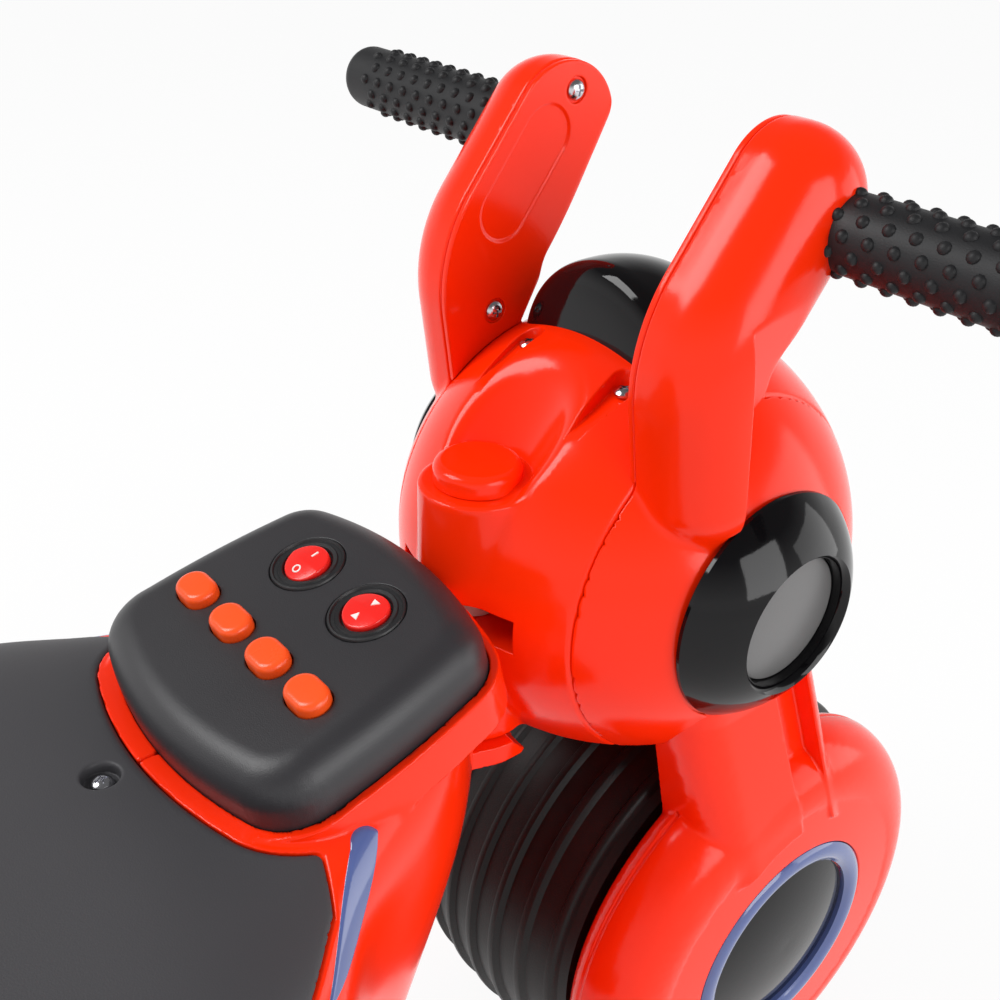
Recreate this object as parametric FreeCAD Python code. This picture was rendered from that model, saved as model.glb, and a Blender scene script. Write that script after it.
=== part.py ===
import FreeCAD, Part
import math
import os
from FreeCAD import Vector

# A child's battery ride-on: a steered front unit on one wide front wheel, and a moulded body with
# a seat, a switch console and two rear wheels. Millimetres, +X forward, +Y left, +Z up, with the
# origin on the ground under the middle of the toy.

# Stance on the ground
overall_length = 650.0
handlebar_width = 356.0
eye_height = 270.0
eye_to_front_axle = 30.0
eye_to_steering = 66.6

# Walls and clearances shared by many pieces
wall = 3.0
play = 0.4
joint_gap = 0.1
shaft_fit = 0.05

# Front wheel
front_tyre_radius = 97.0
front_tyre_half_width = 50.0
front_tyre_crown = 9.0
front_ridge_count = 7
front_ridge_depth = 3.0
front_rim_radius = 64.0
front_axle_radius = 5.0
front_hub_radius = 15.0
rim_web = 6.0

# Fork legs and round wheel covers
fork_inner = 53.0
leg_outer = 75.0
leg_half_depth = 34.0
leg_rake = 0.23
leg_ahead = 9.0
leg_ahead_drop = 60.0
leg_top_drop = 34.0
leg_end_drop = 122.0
leg_round = 16.0
groove_start = 8.0
groove_width = 17.0
groove_depth = 9.0
lobe_step = 2.5
cover_radius = 93.0
cover_face = 86.0
cover_shoulder = 66.0
cover_lip = 8.0
axle_boss_radius = 14.0
hub_ring_outer = 48.5
hub_ring_width = 9.0
hub_ring_depth = 3.0
hub_dome_rise = 4.0

# Head
head_radius = 84.0
head_ahead = 3.5
head_drop = 4.0
head_rim_drop = 58.0
cheek_seam = 48.0
eye_flat = 72.2
eye_ring_radius = 41.9
eye_ring_rise = 15.8
eye_ring_edge = 1.6
eye_ring_swell = 1.3
eye_rim_width = 2.2
eye_recess_radius = 23.6
eye_recess_depth = 5.8
eye_disc_thickness = 3.0
lamp_radius = 33.0
lamp_lift = 8.0
lens_thickness = 2.5

# Visor hood on top of the head
visor_radius = 40.0
visor_back = 6.0
visor_lift = 61.0
visor_rear_depth = 14.0
visor_front_depth = 46.0
visor_wall = 2.5

# Ears that carry the handgrips
ear_radius = 22.5
ear_side = 6.0
ear_foot_back = 19.0
ear_foot_lift = 40.0
ear_elbow_back = 26.0
ear_elbow_lift = 92.0
ear_tip_ahead = 6.0
ear_tip_lift = 134.0
ear_bend_radius = 34.0
ear_cover_thickness = 2.5
ear_high_screw = (9.9, 145.9)
ear_low_screw = (-23.9, 72.3)
grip_ahead = 9.8
grip_lift = 127.8
grip_radius = 14.1
stub_radius = 9.0
grip_end_wall = 6.0
grip_end_round = 8.0

# Steering hinge: boss and column on the head, two lugs on the body, one long pin
boss_radius = 20.0
boss_clearance = 1.0
steering_swing = 22.0
boss_height = 38.0
knob_radius = 15.0
knob_height = 7.5
knob_round = 3.0
knob_pocket = 1.5
pin_radius = 5.0
lug_radius = 24.0
lug_thickness = 12.0
lug_neck_half_width = 20.0
column_radius = 20.0
lower_lug_thickness = 8.0
notch_radius = 31.0
bush_wall = 2.5

# Body sections: place behind the eyes, half width at the waist and at the foot, then the drop of
# the top, the waist and the bottom below the eyes
body_stations = (
    (90.0, 31.0, 26.0, 2.0, 30.0, 78.0),
    (106.0, 47.0, 38.0, 1.0, 40.0, 88.0),
    (134.0, 62.0, 50.0, 6.0, 50.0, 134.0),
    (166.0, 80.0, 60.0, 13.5, 56.0, 194.0),
    (186.0, 98.0, 68.0, 16.5, 60.0, 222.0),
    (206.0, 109.0, 76.0, 16.0, 60.0, 233.0),
    (236.0, 115.0, 80.0, 17.5, 63.0, 236.0),
    (280.0, 117.0, 85.0, 19.0, 66.0, 236.0),
    (336.0, 113.0, 90.0, 15.0, 62.0, 236.0),
    (394.0, 107.0, 93.0, 3.0, 56.0, 236.0),
    (444.0, 99.0, 92.0, -9.0, 50.0, 236.0),
    (482.0, 87.0, 82.0, -17.0, 46.0, 235.0),
    (510.0, 66.0, 62.0, -21.0, 42.0, 208.0),
)
shoulder_squareness = 3.8
foot_squareness = 5.0
section_points = 24
underside_height = 34.0
bulkhead_thickness = 3.0

# Console with its rim
console_back = 186.0
console_drop = 20.5
console_tilt = 14.0
console_length = 100.5
console_half_width = 57.0
console_height = 21.0
console_edge = 12.0
console_wall = 2.5
console_skirt = 8.0
rim_width = 3.5
rim_height = 2.0
well_inset = 10.0
well_depth = 28.0

# Seat
seat_front_back = 168.0
seat_skirt_drop = 48.0
seat_band = 3.0
seat_front_drop = 19.0
seat_corner_run = 7.0
seat_corner_drop = 26.5
seat_side_run = 24.0
seat_side_drop = 31.0
seat_sweep_run = 82.0
seat_wall = 4.0
seat_screw_back = 205.0
seat_rear_screw_back = 400.0

# Switches and sound buttons on the console
button_back = 153.7
button_pitch = 22.3
button_count = 4
button_length = 16.0
button_width = 11.5
button_rise = 4.0
button_travel = 2.0
button_flange = 1.5
switch_back = 122.7
switch_offset = 17.0
switch_flange_radius = 12.6
switch_body_radius = 10.2
switch_body_depth = 17.0
switch_well_radius = 8.2
switch_well_depth = 5.0
rocker_radius = 7.6
rocker_swing = 7.0
rocker_pin_radius = 1.2
board_thickness = 1.6
board_width = 24.0
board_post_ahead = 9.0
board_post_radius = 2.5

# Rear wheels and axle
rear_tyre_radius = 75.0
rear_tyre_width = 44.0
rear_rim_radius = 50.0
rear_wheel_inner = 112.0
rear_ridge_count = 4
rear_ridge_depth = 2.5
rear_axle_radius = 5.0
rear_hub_radius = 13.0
cap_radius = 11.0
cap_length = 7.0

# Drive train
gear_module = 1.0
pinion_module = 0.8
small_teeth = 12
large_teeth = 48
gear_width = 9.0
layer_gap = 4.0
case_outer_y = 62.0
case_wall = 2.5
gear_backlash = 0.25
motor_radius = 14.0
motor_length = 38.0
output_hub_radius = 11.0

# Foot boards and pedal
board_root = 60.0
board_half_span = 150.0
board_corner = 22.0
board_front_back = 168.0
board_rear_back = 300.0
board_height = 68.0
board_depth = 7.0
pedal_length = 74.0
pedal_width = 44.0
pedal_thickness = 6.0
pedal_lift = 9.0
pedal_setback = 40.0
pedal_hinge_height = 5.0
pedal_pin_radius = 2.0
pedal_barrel_radius = 4.2
pedal_lug = 4.5
pedal_inset = 3.0

# Other pieces inside the body
battery_length = 105.0
battery_width = 70.0
battery_height = 47.0
tray_front_back = 240.0
tray_rear_ahead = 45.0
tray_half_width = 50.0
tray_lip = 6.0
battery_setback = 14.0
speaker_radius = 26.0
speaker_depth = 16.0
socket_back = 300.0
socket_drop = 120.0
socket_radius = 6.0
socket_flange = 9.0
screw_radius = 1.8
screw_head_radius = 3.6
screw_head_height = 2.4
body_screw_backs_and_drops = ((128.0, 78.0), (188.0, 150.0), (380.0, 100.0))
tail_screw_back = 30.0
tail_screw_drop = 90.0

# Places that follow from the sizes above
front_axle_x = overall_length / 2 - front_tyre_radius
front_axle_z = front_tyre_radius
eye_x = front_axle_x - eye_to_front_axle
eye_z = eye_height
head_x = eye_x + head_ahead
head_z = eye_z - head_drop
steer_x = eye_x - eye_to_steering
rear_axle_x = rear_tyre_radius - overall_length / 2
rear_axle_z = rear_tyre_radius
boss_bottom = eye_z
lug_top = boss_bottom - play
lug_bottom = lug_top - lug_thickness
column_top = lug_bottom - play
column_bottom = eye_z - head_rim_drop
lower_lug_top = column_bottom - play
lower_lug_bottom = lower_lug_top - lower_lug_thickness
far = 2 * overall_length

os.makedirs("parts", exist_ok=True)


def save(name, *solids):
    shape = solids[0] if len(solids) == 1 else Part.makeCompound(list(solids))
    shape.exportStep("parts/" + name + ".step")


def box(x0, x1, y0, y1, z0, z1):
    return Part.makeBox(x1 - x0, y1 - y0, z1 - z0, Vector(x0, y0, z0))


def rod_x(y, z, radius, x0, x1):
    return Part.makeCylinder(radius, x1 - x0, Vector(x0, y, z), Vector(1, 0, 0))


def rod_y(x, z, radius, y0, y1):
    return Part.makeCylinder(radius, y1 - y0, Vector(x, y0, z), Vector(0, 1, 0))


def rod_z(x, y, radius, z0, z1):
    return Part.makeCylinder(radius, z1 - z0, Vector(x, y, z0))


def ball(x, y, z, radius):
    return Part.makeSphere(radius, Vector(x, y, z))


def mirrored(shape):
    return shape.mirror(Vector(0, 0, 0), Vector(0, 1, 0))


def outline(place, start, *legs):
    # A closed wire. A leg is an end point, or a middle and an end point for an arc.
    edges = []
    here = start
    for leg in legs:
        if isinstance(leg[0], tuple):
            middle, end = leg
            edges.append(Part.Arc(place(*here), place(*middle), place(*end)).toShape())
        else:
            end = leg
            edges.append(Part.LineSegment(place(*here), place(*end)).toShape())
        here = end
    return Part.Wire(edges)


def turned_y(x, z, start, *legs):
    # A solid of revolution about an axle along Y, from a closed outline of (radius, y).
    wire = outline(lambda radius, y: Vector(x + radius, y, z), start, *legs)
    return Part.Face(wire).revolve(Vector(x, 0, z), Vector(0, 1, 0), 360)


def joined(*shapes):
    return shapes[0].multiFuse(list(shapes[1:])).removeSplitter()


# Front wheel: a ribbed tyre on a spool-shaped rim that runs on the axle
def ridged_tyre(x, z, radius, half_width, crown, ridge_count, ridge_depth, rim_radius, middle_y):
    pitch = 2 * half_width / ridge_count
    legs = []
    for ridge in range(ridge_count):
        for share, sink in ((0.15, ridge_depth), (0.3, 0.0), (0.7, 0.0), (0.85, ridge_depth)):
            y = -half_width + pitch * (ridge + share)
            drop = crown * abs(y / half_width) ** 2.5
            legs.append((radius - drop - sink, middle_y + y))
    shoulder = radius - crown - 2 * ridge_depth
    legs.append((shoulder, middle_y + half_width))
    legs.append((rim_radius, middle_y + half_width))
    legs.append((rim_radius, middle_y - half_width))
    start = (shoulder, middle_y - half_width)
    return turned_y(x, z, start, *legs, start)


def spool_rim(x, z, rim_radius, half_width, hub_radius, hub_half, bore, middle_y):
    drum = rod_y(x, z, rim_radius, middle_y - half_width, middle_y + half_width)
    hollow = rod_y(x, z, rim_radius - 2 * wall, middle_y - half_width, middle_y + half_width)
    web = rod_y(x, z, rim_radius - wall, middle_y - rim_web / 2, middle_y + rim_web / 2)
    hub = rod_y(x, z, hub_radius, middle_y - hub_half, middle_y + hub_half)
    hole = rod_y(x, z, bore, middle_y - 2 * hub_half, middle_y + 2 * hub_half)
    return joined(drum.cut(hollow), web, hub).cut(hole)


front_rim_bore = front_axle_radius + shaft_fit
front_tyre = ridged_tyre(front_axle_x, front_axle_z, front_tyre_radius, front_tyre_half_width,
                         front_tyre_crown, front_ridge_count, front_ridge_depth,
                         front_rim_radius, 0.0)
front_rim = spool_rim(front_axle_x, front_axle_z, front_rim_radius, front_tyre_half_width,
                      front_hub_radius, fork_inner - play, front_rim_bore, 0.0)
save("front_tyre", front_tyre)
save("front_rim", front_rim)

# Head: one sphere, split into a middle band and two cheeks at the cheek seams
head_outer = ball(head_x, 0, head_z, head_radius)
head_middle = ball(head_x, 0, head_z, head_radius - wall / 2)
head_inner = ball(head_x, 0, head_z, head_radius - wall)
above_rim = box(-far, far, -far, far, column_bottom, far)
visor_x = eye_x - visor_back
visor_z = eye_z + visor_lift
lamp_z = eye_z + lamp_lift
boss_top = boss_bottom + boss_height
pin_bore = pin_radius + joint_gap

boss = rod_z(steer_x, 0, boss_radius, boss_bottom, boss_top)
column = rod_z(steer_x, 0, column_radius, column_bottom, column_top)
notch = rod_z(steer_x, 0, notch_radius, column_top, boss_bottom)
pin_hole = rod_z(steer_x, 0, pin_bore, column_bottom - play, boss_top + play)

band_screw_back = 25.7
band_screw_x = eye_x - band_screw_back
band_screw_y = 24.0
band_pocket_length = 20.0
band_pocket_radius = 5.0
band_pocket_depth = 10.0
band_post_length = 24.0


def visor_form(grow):
    # Half an ellipsoid steep towards the rider, and half a long one towards the front.
    radius = visor_radius + grow
    rear = visor_rear_depth + grow
    front = visor_front_depth + grow
    centre = Vector(visor_x, 0, visor_z)
    top = Vector(visor_x, 0, visor_z + radius)
    rear_tip = Vector(visor_x - rear, 0, visor_z)
    front_tip = Vector(visor_x + front, 0, visor_z)
    rear_arc = Part.ArcOfEllipse(Part.Ellipse(top, rear_tip, centre), 0, math.pi / 2).toShape()
    front_arc = Part.ArcOfEllipse(Part.Ellipse(front_tip, top, centre), 0, math.pi / 2).toShape()
    axis = Part.LineSegment(rear_tip, front_tip).toShape()
    face = Part.Face(Part.Wire([axis, front_arc, rear_arc]))
    return face.revolve(centre, Vector(1, 0, 0), 360)


def head_surface(x, y):
    # Height of the outside of the head above a point of its plan.
    return head_z + math.sqrt(head_radius ** 2 - (x - head_x) ** 2 - y ** 2)


band_screw_seat = head_surface(band_screw_x, band_screw_y) - band_pocket_depth
knob_wall = rod_z(steer_x, 0, knob_radius + knob_pocket + wall, boss_top - wall, far).common(head_middle)
band = joined(head_outer.cut(head_inner), boss, column, knob_wall)
for side in (-1, 1):
    y = side * band_screw_y
    post = rod_z(band_screw_x, y, band_pocket_radius + wall, band_screw_seat - band_post_length, far)
    long_pad = rod_z(band_screw_x - band_pocket_length, y, band_pocket_radius + wall,
                     band_screw_seat - wall, far)
    bridge = box(band_screw_x - band_pocket_length, band_screw_x,
                 y - band_pocket_radius - wall, y + band_pocket_radius + wall,
                 band_screw_seat - wall, far)
    pad = joined(post, long_pad, bridge).common(head_middle)
    band = band.fuse(pad)
for side in (-1, 1):
    y = side * band_screw_y
    pocket = joined(rod_z(band_screw_x, y, band_pocket_radius, band_screw_seat, far),
                    rod_z(band_screw_x - band_pocket_length, y, 0.6 * band_pocket_radius,
                          band_screw_seat, far),
                    box(band_screw_x - band_pocket_length, band_screw_x,
                        y - 0.6 * band_pocket_radius, y + 0.6 * band_pocket_radius,
                        band_screw_seat, far))
    band = band.cut(pocket)
    band = band.cut(rod_z(band_screw_x, y, screw_radius, band_screw_seat - band_post_length,
                          band_screw_seat))
band = band.common(box(-far, far, -cheek_seam, cheek_seam, column_bottom, far))
band = band.cut(notch).cut(pin_hole)
band = band.cut(rod_z(steer_x, 0, knob_radius + knob_pocket, boss_top, far))
band = band.cut(visor_form(joint_gap))
band = band.cut(rod_x(0, lamp_z, lamp_radius + joint_gap, head_x, far))
save("head_band", max(band.Solids, key=lambda solid: solid.Volume))

# Visor: a glossy hood let into the top of the band
visor = visor_form(0.0).cut(visor_form(-visor_wall))
visor_floor = head_z + (head_radius - wall) * 0.72
visor = visor.common(box(-far, far, -far, far, visor_floor, far))
save("visor", visor)

# Headlamp at the front of the head: a clear lens flush with the band and a cone reflector
lens = head_outer.cut(ball(head_x, 0, head_z, head_radius - lens_thickness))
lens = lens.common(rod_x(0, lamp_z, lamp_radius, head_x, far))
save("headlamp_lens", lens)
lamp_offset = lamp_z - head_z
reflector_flange = lamp_radius + wall
flange_x = head_x + math.sqrt((head_radius - wall) ** 2 - (reflector_flange + lamp_offset) ** 2) - joint_gap
reflector_depth = 34.0
reflector_throat = 9.0
reflector_wire = outline(lambda x, radius: Vector(x, 0, lamp_z + radius),
                         (flange_x, reflector_flange),
                         (flange_x - wall, reflector_flange),
                         (flange_x - wall, lamp_radius - wall),
                         (flange_x - reflector_depth, reflector_throat),
                         (flange_x - reflector_depth, 0.0),
                         (flange_x - reflector_depth + wall, 0.0),
                         (flange_x - reflector_depth + wall, reflector_throat),
                         (flange_x, lamp_radius - wall),
                         (flange_x, reflector_flange))
reflector = Part.Face(reflector_wire).revolve(Vector(0, 0, lamp_z), Vector(1, 0, 0), 360)
save("headlamp_reflector", reflector)


# Ears: a round bar bent at an elbow, halved along the cheek seam, with a flat inner cover
def bent_bar(radius, y):
    foot = Vector(eye_x - ear_foot_back, y, eye_z + ear_foot_lift)
    elbow = Vector(eye_x - ear_elbow_back, y, eye_z + ear_elbow_lift)
    tip = Vector(eye_x + ear_tip_ahead, y, eye_z + ear_tip_lift)
    down = (foot - elbow).normalize()
    up = (tip - elbow).normalize()
    half_angle = down.getAngle(up) / 2
    reach = ear_bend_radius / math.tan(half_angle)
    start = elbow + down * reach
    end = elbow + up * reach
    centre = elbow + (down + up).normalize() * (ear_bend_radius / math.sin(half_angle))
    lower = Part.makeCylinder(radius, (start - foot).Length, foot, start - foot)
    ring = Part.Face(Part.Wire(Part.makeCircle(radius, start, down)))
    bend = ring.revolve(centre, Vector(0, 1, 0), 180 - math.degrees(2 * half_angle))
    upper = Part.makeCylinder(radius, (tip - end).Length, end, tip - end)
    return joined(lower, bend, upper, ball(tip.x, tip.y, tip.z, radius))


def ear_plate(radius, y0, y1):
    # The flat outline of the bent bar, between two planes.
    slab = bent_bar(radius, y0).common(box(-far, far, y0, far, -far, far))
    bottom = [face for face in slab.Faces if face.CenterOfMass.y < y0 + 0.001]
    return joined(*[face.extrude(Vector(0, y1 - y0, 0)) for face in bottom])


def ear_form(radius):
    # A flat side wall at the seam that runs out into the round of the bar.
    outer_half = bent_bar(radius, ear_axis_y).common(box(-far, far, ear_axis_y, far, -far, far))
    return joined(ear_plate(radius, cheek_seam, ear_axis_y), outer_half)


def fork_leg(grow):
    # Section of a leg in plan, swept down the rake of the fork.
    front = leg_half_depth + grow
    outer = leg_outer + grow
    bottom = leg_outer - groove_depth + grow
    rounding = leg_round + grow
    corner = rounding * (1 - math.sqrt(0.5))
    groove_end = groove_start + groove_width
    lobe = front - groove_end
    wire = outline(lambda x, y: Vector(leg_top_x + x, y, leg_top_z),
                   (-front, fork_inner - grow),
                   (-front, outer - rounding),
                   ((-front + corner, outer - corner), (-front + rounding, outer)),
                   (groove_start + grow, outer),
                   (groove_start + grow, bottom),
                   (groove_end - grow, bottom),
                   (groove_end - grow, outer - lobe_step),
                   ((groove_end + 0.7 * lobe, outer - lobe_step), (front, outer - lobe)),
                   (front, fork_inner - grow),
                   (-front, fork_inner - grow))
    drop = leg_end_drop - leg_top_drop
    return Part.Face(wire).extrude(Vector(leg_rake * drop, 0, -drop))


leg_top_z = eye_z - leg_top_drop
leg_middle_x = eye_x + leg_ahead
leg_top_x = leg_middle_x - leg_rake * (leg_ahead_drop - leg_top_drop)
grip_x = eye_x + grip_ahead
grip_z = eye_z + grip_lift
grip_end = handlebar_width / 2

outside_seam = box(-far, far, cheek_seam, far, -far, far)
ear_axis_y = cheek_seam + ear_side
ear_outer = ear_form(ear_radius)
ear_inner = ear_form(ear_radius - wall)
cheek = joined(head_outer.common(outside_seam), ear_outer).cut(head_inner).cut(ear_inner)
cheek = cheek.common(above_rim)
cheek = cheek.cut(rod_y(eye_x, eye_z, eye_ring_radius + wall, eye_flat, far))
cheek = cheek.cut(fork_leg(joint_gap))
ear_middle = ear_form(ear_radius - wall / 2)
stub_boss = rod_y(grip_x, grip_z, stub_radius + wall, cheek_seam + wall, far).common(ear_middle)
cheek = joined(cheek, stub_boss)
stub_seat = cheek_seam + 2 * wall
cheek = cheek.cut(rod_y(grip_x, grip_z, stub_radius + joint_gap, stub_seat, far))
cheek = max(cheek.Solids, key=lambda solid: solid.Volume)

ear_screw_places = [(eye_x + ahead, eye_z + lift) for ahead, lift in (ear_high_screw, ear_low_screw)]
ear_post_radius = 5.0
ear_cover = ear_plate(ear_radius, cheek_seam - ear_cover_thickness, cheek_seam)
ear_cover = ear_cover.cut(ball(head_x, 0, head_z, head_radius + joint_gap))
ear_screws = []
for x, z in ear_screw_places:
    post = rod_y(x, z, ear_post_radius, cheek_seam, far).common(ear_middle)
    cheek = joined(cheek, post)
    seat_y = cheek_seam - ear_cover_thickness + 0.4 * ear_cover_thickness
    cheek = cheek.cut(rod_y(x, z, screw_radius, cheek_seam, cheek_seam + 10))
    ear_cover = ear_cover.cut(rod_y(x, z, screw_radius, 0, cheek_seam + wall))
    ear_cover = ear_cover.cut(rod_y(x, z, screw_head_radius + joint_gap, 0, seat_y))
    head = rod_y(x, z, screw_head_radius, seat_y - screw_head_height, seat_y)
    shank = rod_y(x, z, screw_radius - joint_gap, seat_y, cheek_seam + 8)
    ear_screws.append(head.fuse(shank))
ear_cover = max(ear_cover.Solids, key=lambda solid: solid.Volume)
save("cheek_left", cheek)
save("cheek_right", mirrored(cheek))
save("ear_cover_left", ear_cover)
save("ear_cover_right", mirrored(ear_cover))

band_screws = []
for side in (-1, 1):
    y = side * band_screw_y
    head = rod_z(band_screw_x, y, screw_head_radius, band_screw_seat, band_screw_seat + screw_head_height)
    shank = rod_z(band_screw_x, y, screw_radius - joint_gap, band_screw_seat - band_post_length + wall,
                  band_screw_seat)
    band_screws.append(head.fuse(shank))
save("head_screws", *band_screws, *ear_screws, *[mirrored(screw) for screw in ear_screws])

# Eyes: a glossy domed ring with a flat disc at the bottom of its recess
ring_top = eye_flat + eye_ring_rise
recess_floor = ring_top - eye_recess_depth
disc_back = recess_floor - eye_disc_thickness
disc_ledge = 6.0
dome_foot = (eye_ring_radius, eye_flat + eye_ring_edge)
dome_top = (eye_recess_radius + eye_rim_width, ring_top)
dome_run = dome_foot[0] - dome_top[0]
dome_rise = dome_top[1] - dome_foot[1]
dome_slope = math.hypot(dome_run, dome_rise)
dome_middle = ((dome_foot[0] + dome_top[0]) / 2 + eye_ring_swell * dome_rise / dome_slope,
               (dome_foot[1] + dome_top[1]) / 2 + eye_ring_swell * dome_run / dome_slope)
eye_ring = turned_y(eye_x, eye_z,
                    (eye_ring_radius, eye_flat),
                    dome_foot,
                    (dome_middle, dome_top),
                    ((eye_recess_radius + 1.0, ring_top - 1.0), (eye_recess_radius, ring_top - 3.5)),
                    (eye_recess_radius, disc_back),
                    (eye_recess_radius - disc_ledge, disc_back),
                    (eye_recess_radius - disc_ledge, eye_flat),
                    (eye_ring_radius, eye_flat))
eye_disc = rod_y(eye_x, eye_z, eye_recess_radius - joint_gap, disc_back, recess_floor)
save("eye_ring_left", eye_ring)
save("eye_ring_right", mirrored(eye_ring))
save("eye_discs", eye_disc, mirrored(eye_disc))

# Handgrips: a plastic stub plugged into each ear under a closed rubber sleeve
stub_end = grip_end - grip_end_wall
stub = rod_y(grip_x, grip_z, stub_radius, stub_seat, stub_end)
sleeve = rod_y(grip_x, grip_z, grip_radius, cheek_seam, grip_end)
sleeve = sleeve.makeFillet(grip_end_round, [edge for edge in sleeve.Edges
                                            if edge.CenterOfMass.y > grip_end - 0.01])
sleeve = sleeve.cut(rod_y(grip_x, grip_z, stub_radius, 0, stub_end))
sleeve = sleeve.cut(ear_form(ear_radius + joint_gap))
sleeve = max(sleeve.Solids, key=lambda solid: solid.CenterOfMass.y)
save("grip_left", sleeve)
save("grip_right", mirrored(sleeve))
save("grip_stubs", stub, mirrored(stub))

# Fork: a leg and a round wheel cover in one moulding, with the axle held in its boss
cover_shell = turned_y(front_axle_x, front_axle_z,
                       (0.0, fork_inner),
                       (cover_radius - 0.5 * cover_lip, fork_inner),
                       ((cover_radius - 0.13 * cover_lip, fork_inner + 0.4 * cover_lip),
                        (cover_radius, fork_inner + cover_lip)),
                       ((cover_radius - 8.0, cover_face - 8.5), (cover_shoulder, cover_face - 1.0)),
                       (hub_ring_outer, cover_face),
                       (0.0, cover_face),
                       (0.0, fork_inner))
cover_cavity = turned_y(front_axle_x, front_axle_z,
                        (axle_boss_radius, fork_inner),
                        (cover_radius - 0.5 * cover_lip - wall, fork_inner),
                        (cover_radius - wall, fork_inner + cover_lip),
                        ((cover_radius - 11.0, cover_face - 12.0), (cover_shoulder - 2, cover_face - 6.5)),
                        (axle_boss_radius, cover_face - hub_ring_depth - 2 * wall),
                        (axle_boss_radius, fork_inner))
leg_shell = fork_leg(0.0).cut(fork_leg(-wall))
nut_radius = 9.0
nut_depth = 8.0
ring_floor = cover_face - hub_ring_depth
ring_inner = hub_ring_outer - hub_ring_width
axle_end = ring_floor - 2
fork = joined(cover_shell, leg_shell).cut(cover_cavity)
fork = fork.cut(rod_y(front_axle_x, front_axle_z, hub_ring_outer, ring_floor, far))
fork = fork.cut(rod_y(front_axle_x, front_axle_z, nut_radius + joint_gap, ring_floor - nut_depth, far))
fork = fork.cut(rod_y(front_axle_x, front_axle_z, front_axle_radius + joint_gap, 0, far))
wheel_room = rod_y(front_axle_x, front_axle_z, front_tyre_radius + 4, -fork_inner, fork_inner)
fork = fork.cut(wheel_room)
fork = fork.cut(rod_y(eye_x, eye_z, eye_ring_radius + joint_gap, eye_flat - joint_gap, far))
save("fork_left", fork)
save("fork_right", mirrored(fork))

hub_ring = turned_y(front_axle_x, front_axle_z,
                    (ring_inner, ring_floor),
                    (hub_ring_outer - joint_gap, ring_floor),
                    (hub_ring_outer - joint_gap, cover_face),
                    ((hub_ring_outer - 0.4 * hub_ring_width, cover_face + 1.8), (ring_inner, cover_face)),
                    (ring_inner, ring_floor))
dome_radius = ring_inner - joint_gap
dome_edge = 1.0
dome_curve = (dome_radius ** 2 + hub_dome_rise ** 2) / (2 * hub_dome_rise)
dome_centre = ring_floor + dome_edge + hub_dome_rise - dome_curve
hub_dome = rod_y(front_axle_x, front_axle_z, dome_radius, ring_floor, far).common(
    ball(front_axle_x, dome_centre, front_axle_z, dome_curve))
save("hub_rings", hub_ring, mirrored(hub_ring))
save("hub_domes", hub_dome, mirrored(hub_dome))
axle_nut = rod_y(front_axle_x, front_axle_z, nut_radius, ring_floor - nut_depth, axle_end)
front_axle = joined(rod_y(front_axle_x, front_axle_z, front_axle_radius, -axle_end, axle_end),
                    axle_nut, mirrored(axle_nut))
save("front_axle", front_axle)

# Steering pin with its head under a round cap on top of the boss
pin_end = lower_lug_bottom - 3
steering_pin = rod_z(steer_x, 0, pin_radius, pin_end, boss_top)
save("steering_pin", steering_pin)
knob = rod_z(steer_x, 0, knob_radius, boss_top, boss_top + knob_height)
knob = knob.makeFillet(knob_round, [edge for edge in knob.Edges
                                    if edge.CenterOfMass.z > boss_top + knob_height - 0.01])
save("steering_knob", knob)
bush_radius = pin_radius + shaft_fit + bush_wall
bushes = []
for low, high in ((lug_bottom, lug_top), (lower_lug_bottom, lower_lug_top)):
    bush = rod_z(steer_x, 0, bush_radius, low, high)
    bushes.append(bush.cut(rod_z(steer_x, 0, pin_radius + shaft_fit, low - 1, high + 1)))
save("steering_bushes", *bushes)

# Body: a smooth shell through rounded sections, from the steering lugs to the tail
def section_points_of(station, shift, inset):
    behind, half_width, foot, high, waist, low = station
    points = []
    for step in range(section_points):
        turn = 2 * math.pi * (step + 0.5) / section_points
        power = 2 / (shoulder_squareness if math.sin(turn) > 0 else foot_squareness)
        across = math.copysign(abs(math.cos(turn)) ** power, math.cos(turn))
        share = abs(math.sin(turn)) ** power
        if math.sin(turn) > 0:
            reach = half_width - inset
            z = eye_z - waist + (waist - high - inset) * share
        else:
            reach = half_width - inset - (half_width - foot) * share ** 2
            z = eye_z - waist - (low - waist - inset) * share
        points.append(Vector(eye_x - behind + shift, reach * across, z))
    return points


def spaced_knots(points):
    # Curve parameters spread like the distances between the points of one closed section.
    knots = [0.0]
    for here, following in zip(points, points[1:] + points[:1]):
        knots.append(knots[-1] + math.sqrt(here.distanceToPoint(following)))
    return [knot / knots[-1] for knot in knots]


widest_station = max(body_stations, key=lambda station: station[1])
section_knots = spaced_knots(section_points_of(widest_station, 0.0, 0.0))


def body_section(station, shift, inset):
    curve = Part.BSplineCurve()
    curve.interpolate(Points=section_points_of(station, shift, inset), PeriodicFlag=True,
                      Parameters=section_knots)
    return Part.Wire(curve.toShape())


def body_form(inset):
    sections = []
    last = len(body_stations) - 1
    for place, station in enumerate(body_stations):
        shift = -inset if place == 0 else inset if place == last else 0.0
        sections.append(body_section(station, shift, inset))
    return Part.makeLoft(sections, True, False)


body_outer = body_form(0.0)
body_middle = body_form(wall / 2)
body_inner = body_form(wall)
probe_radius = 0.5


def body_top(x):
    # Height of the outside of the body form on the centre plane.
    probe = rod_z(x, 0, probe_radius, eye_z - 100, eye_z + 100).common(body_form(0.0))
    return max(vertex.Z for vertex in probe.Vertexes)


def body_flank(x, z):
    # Half width of the outside of the body form at a place on its side.
    probe = rod_y(x, z, probe_radius, 0, far / 4).common(body_form(0.0))
    return max(vertex.Y for vertex in probe.Vertexes)


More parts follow.
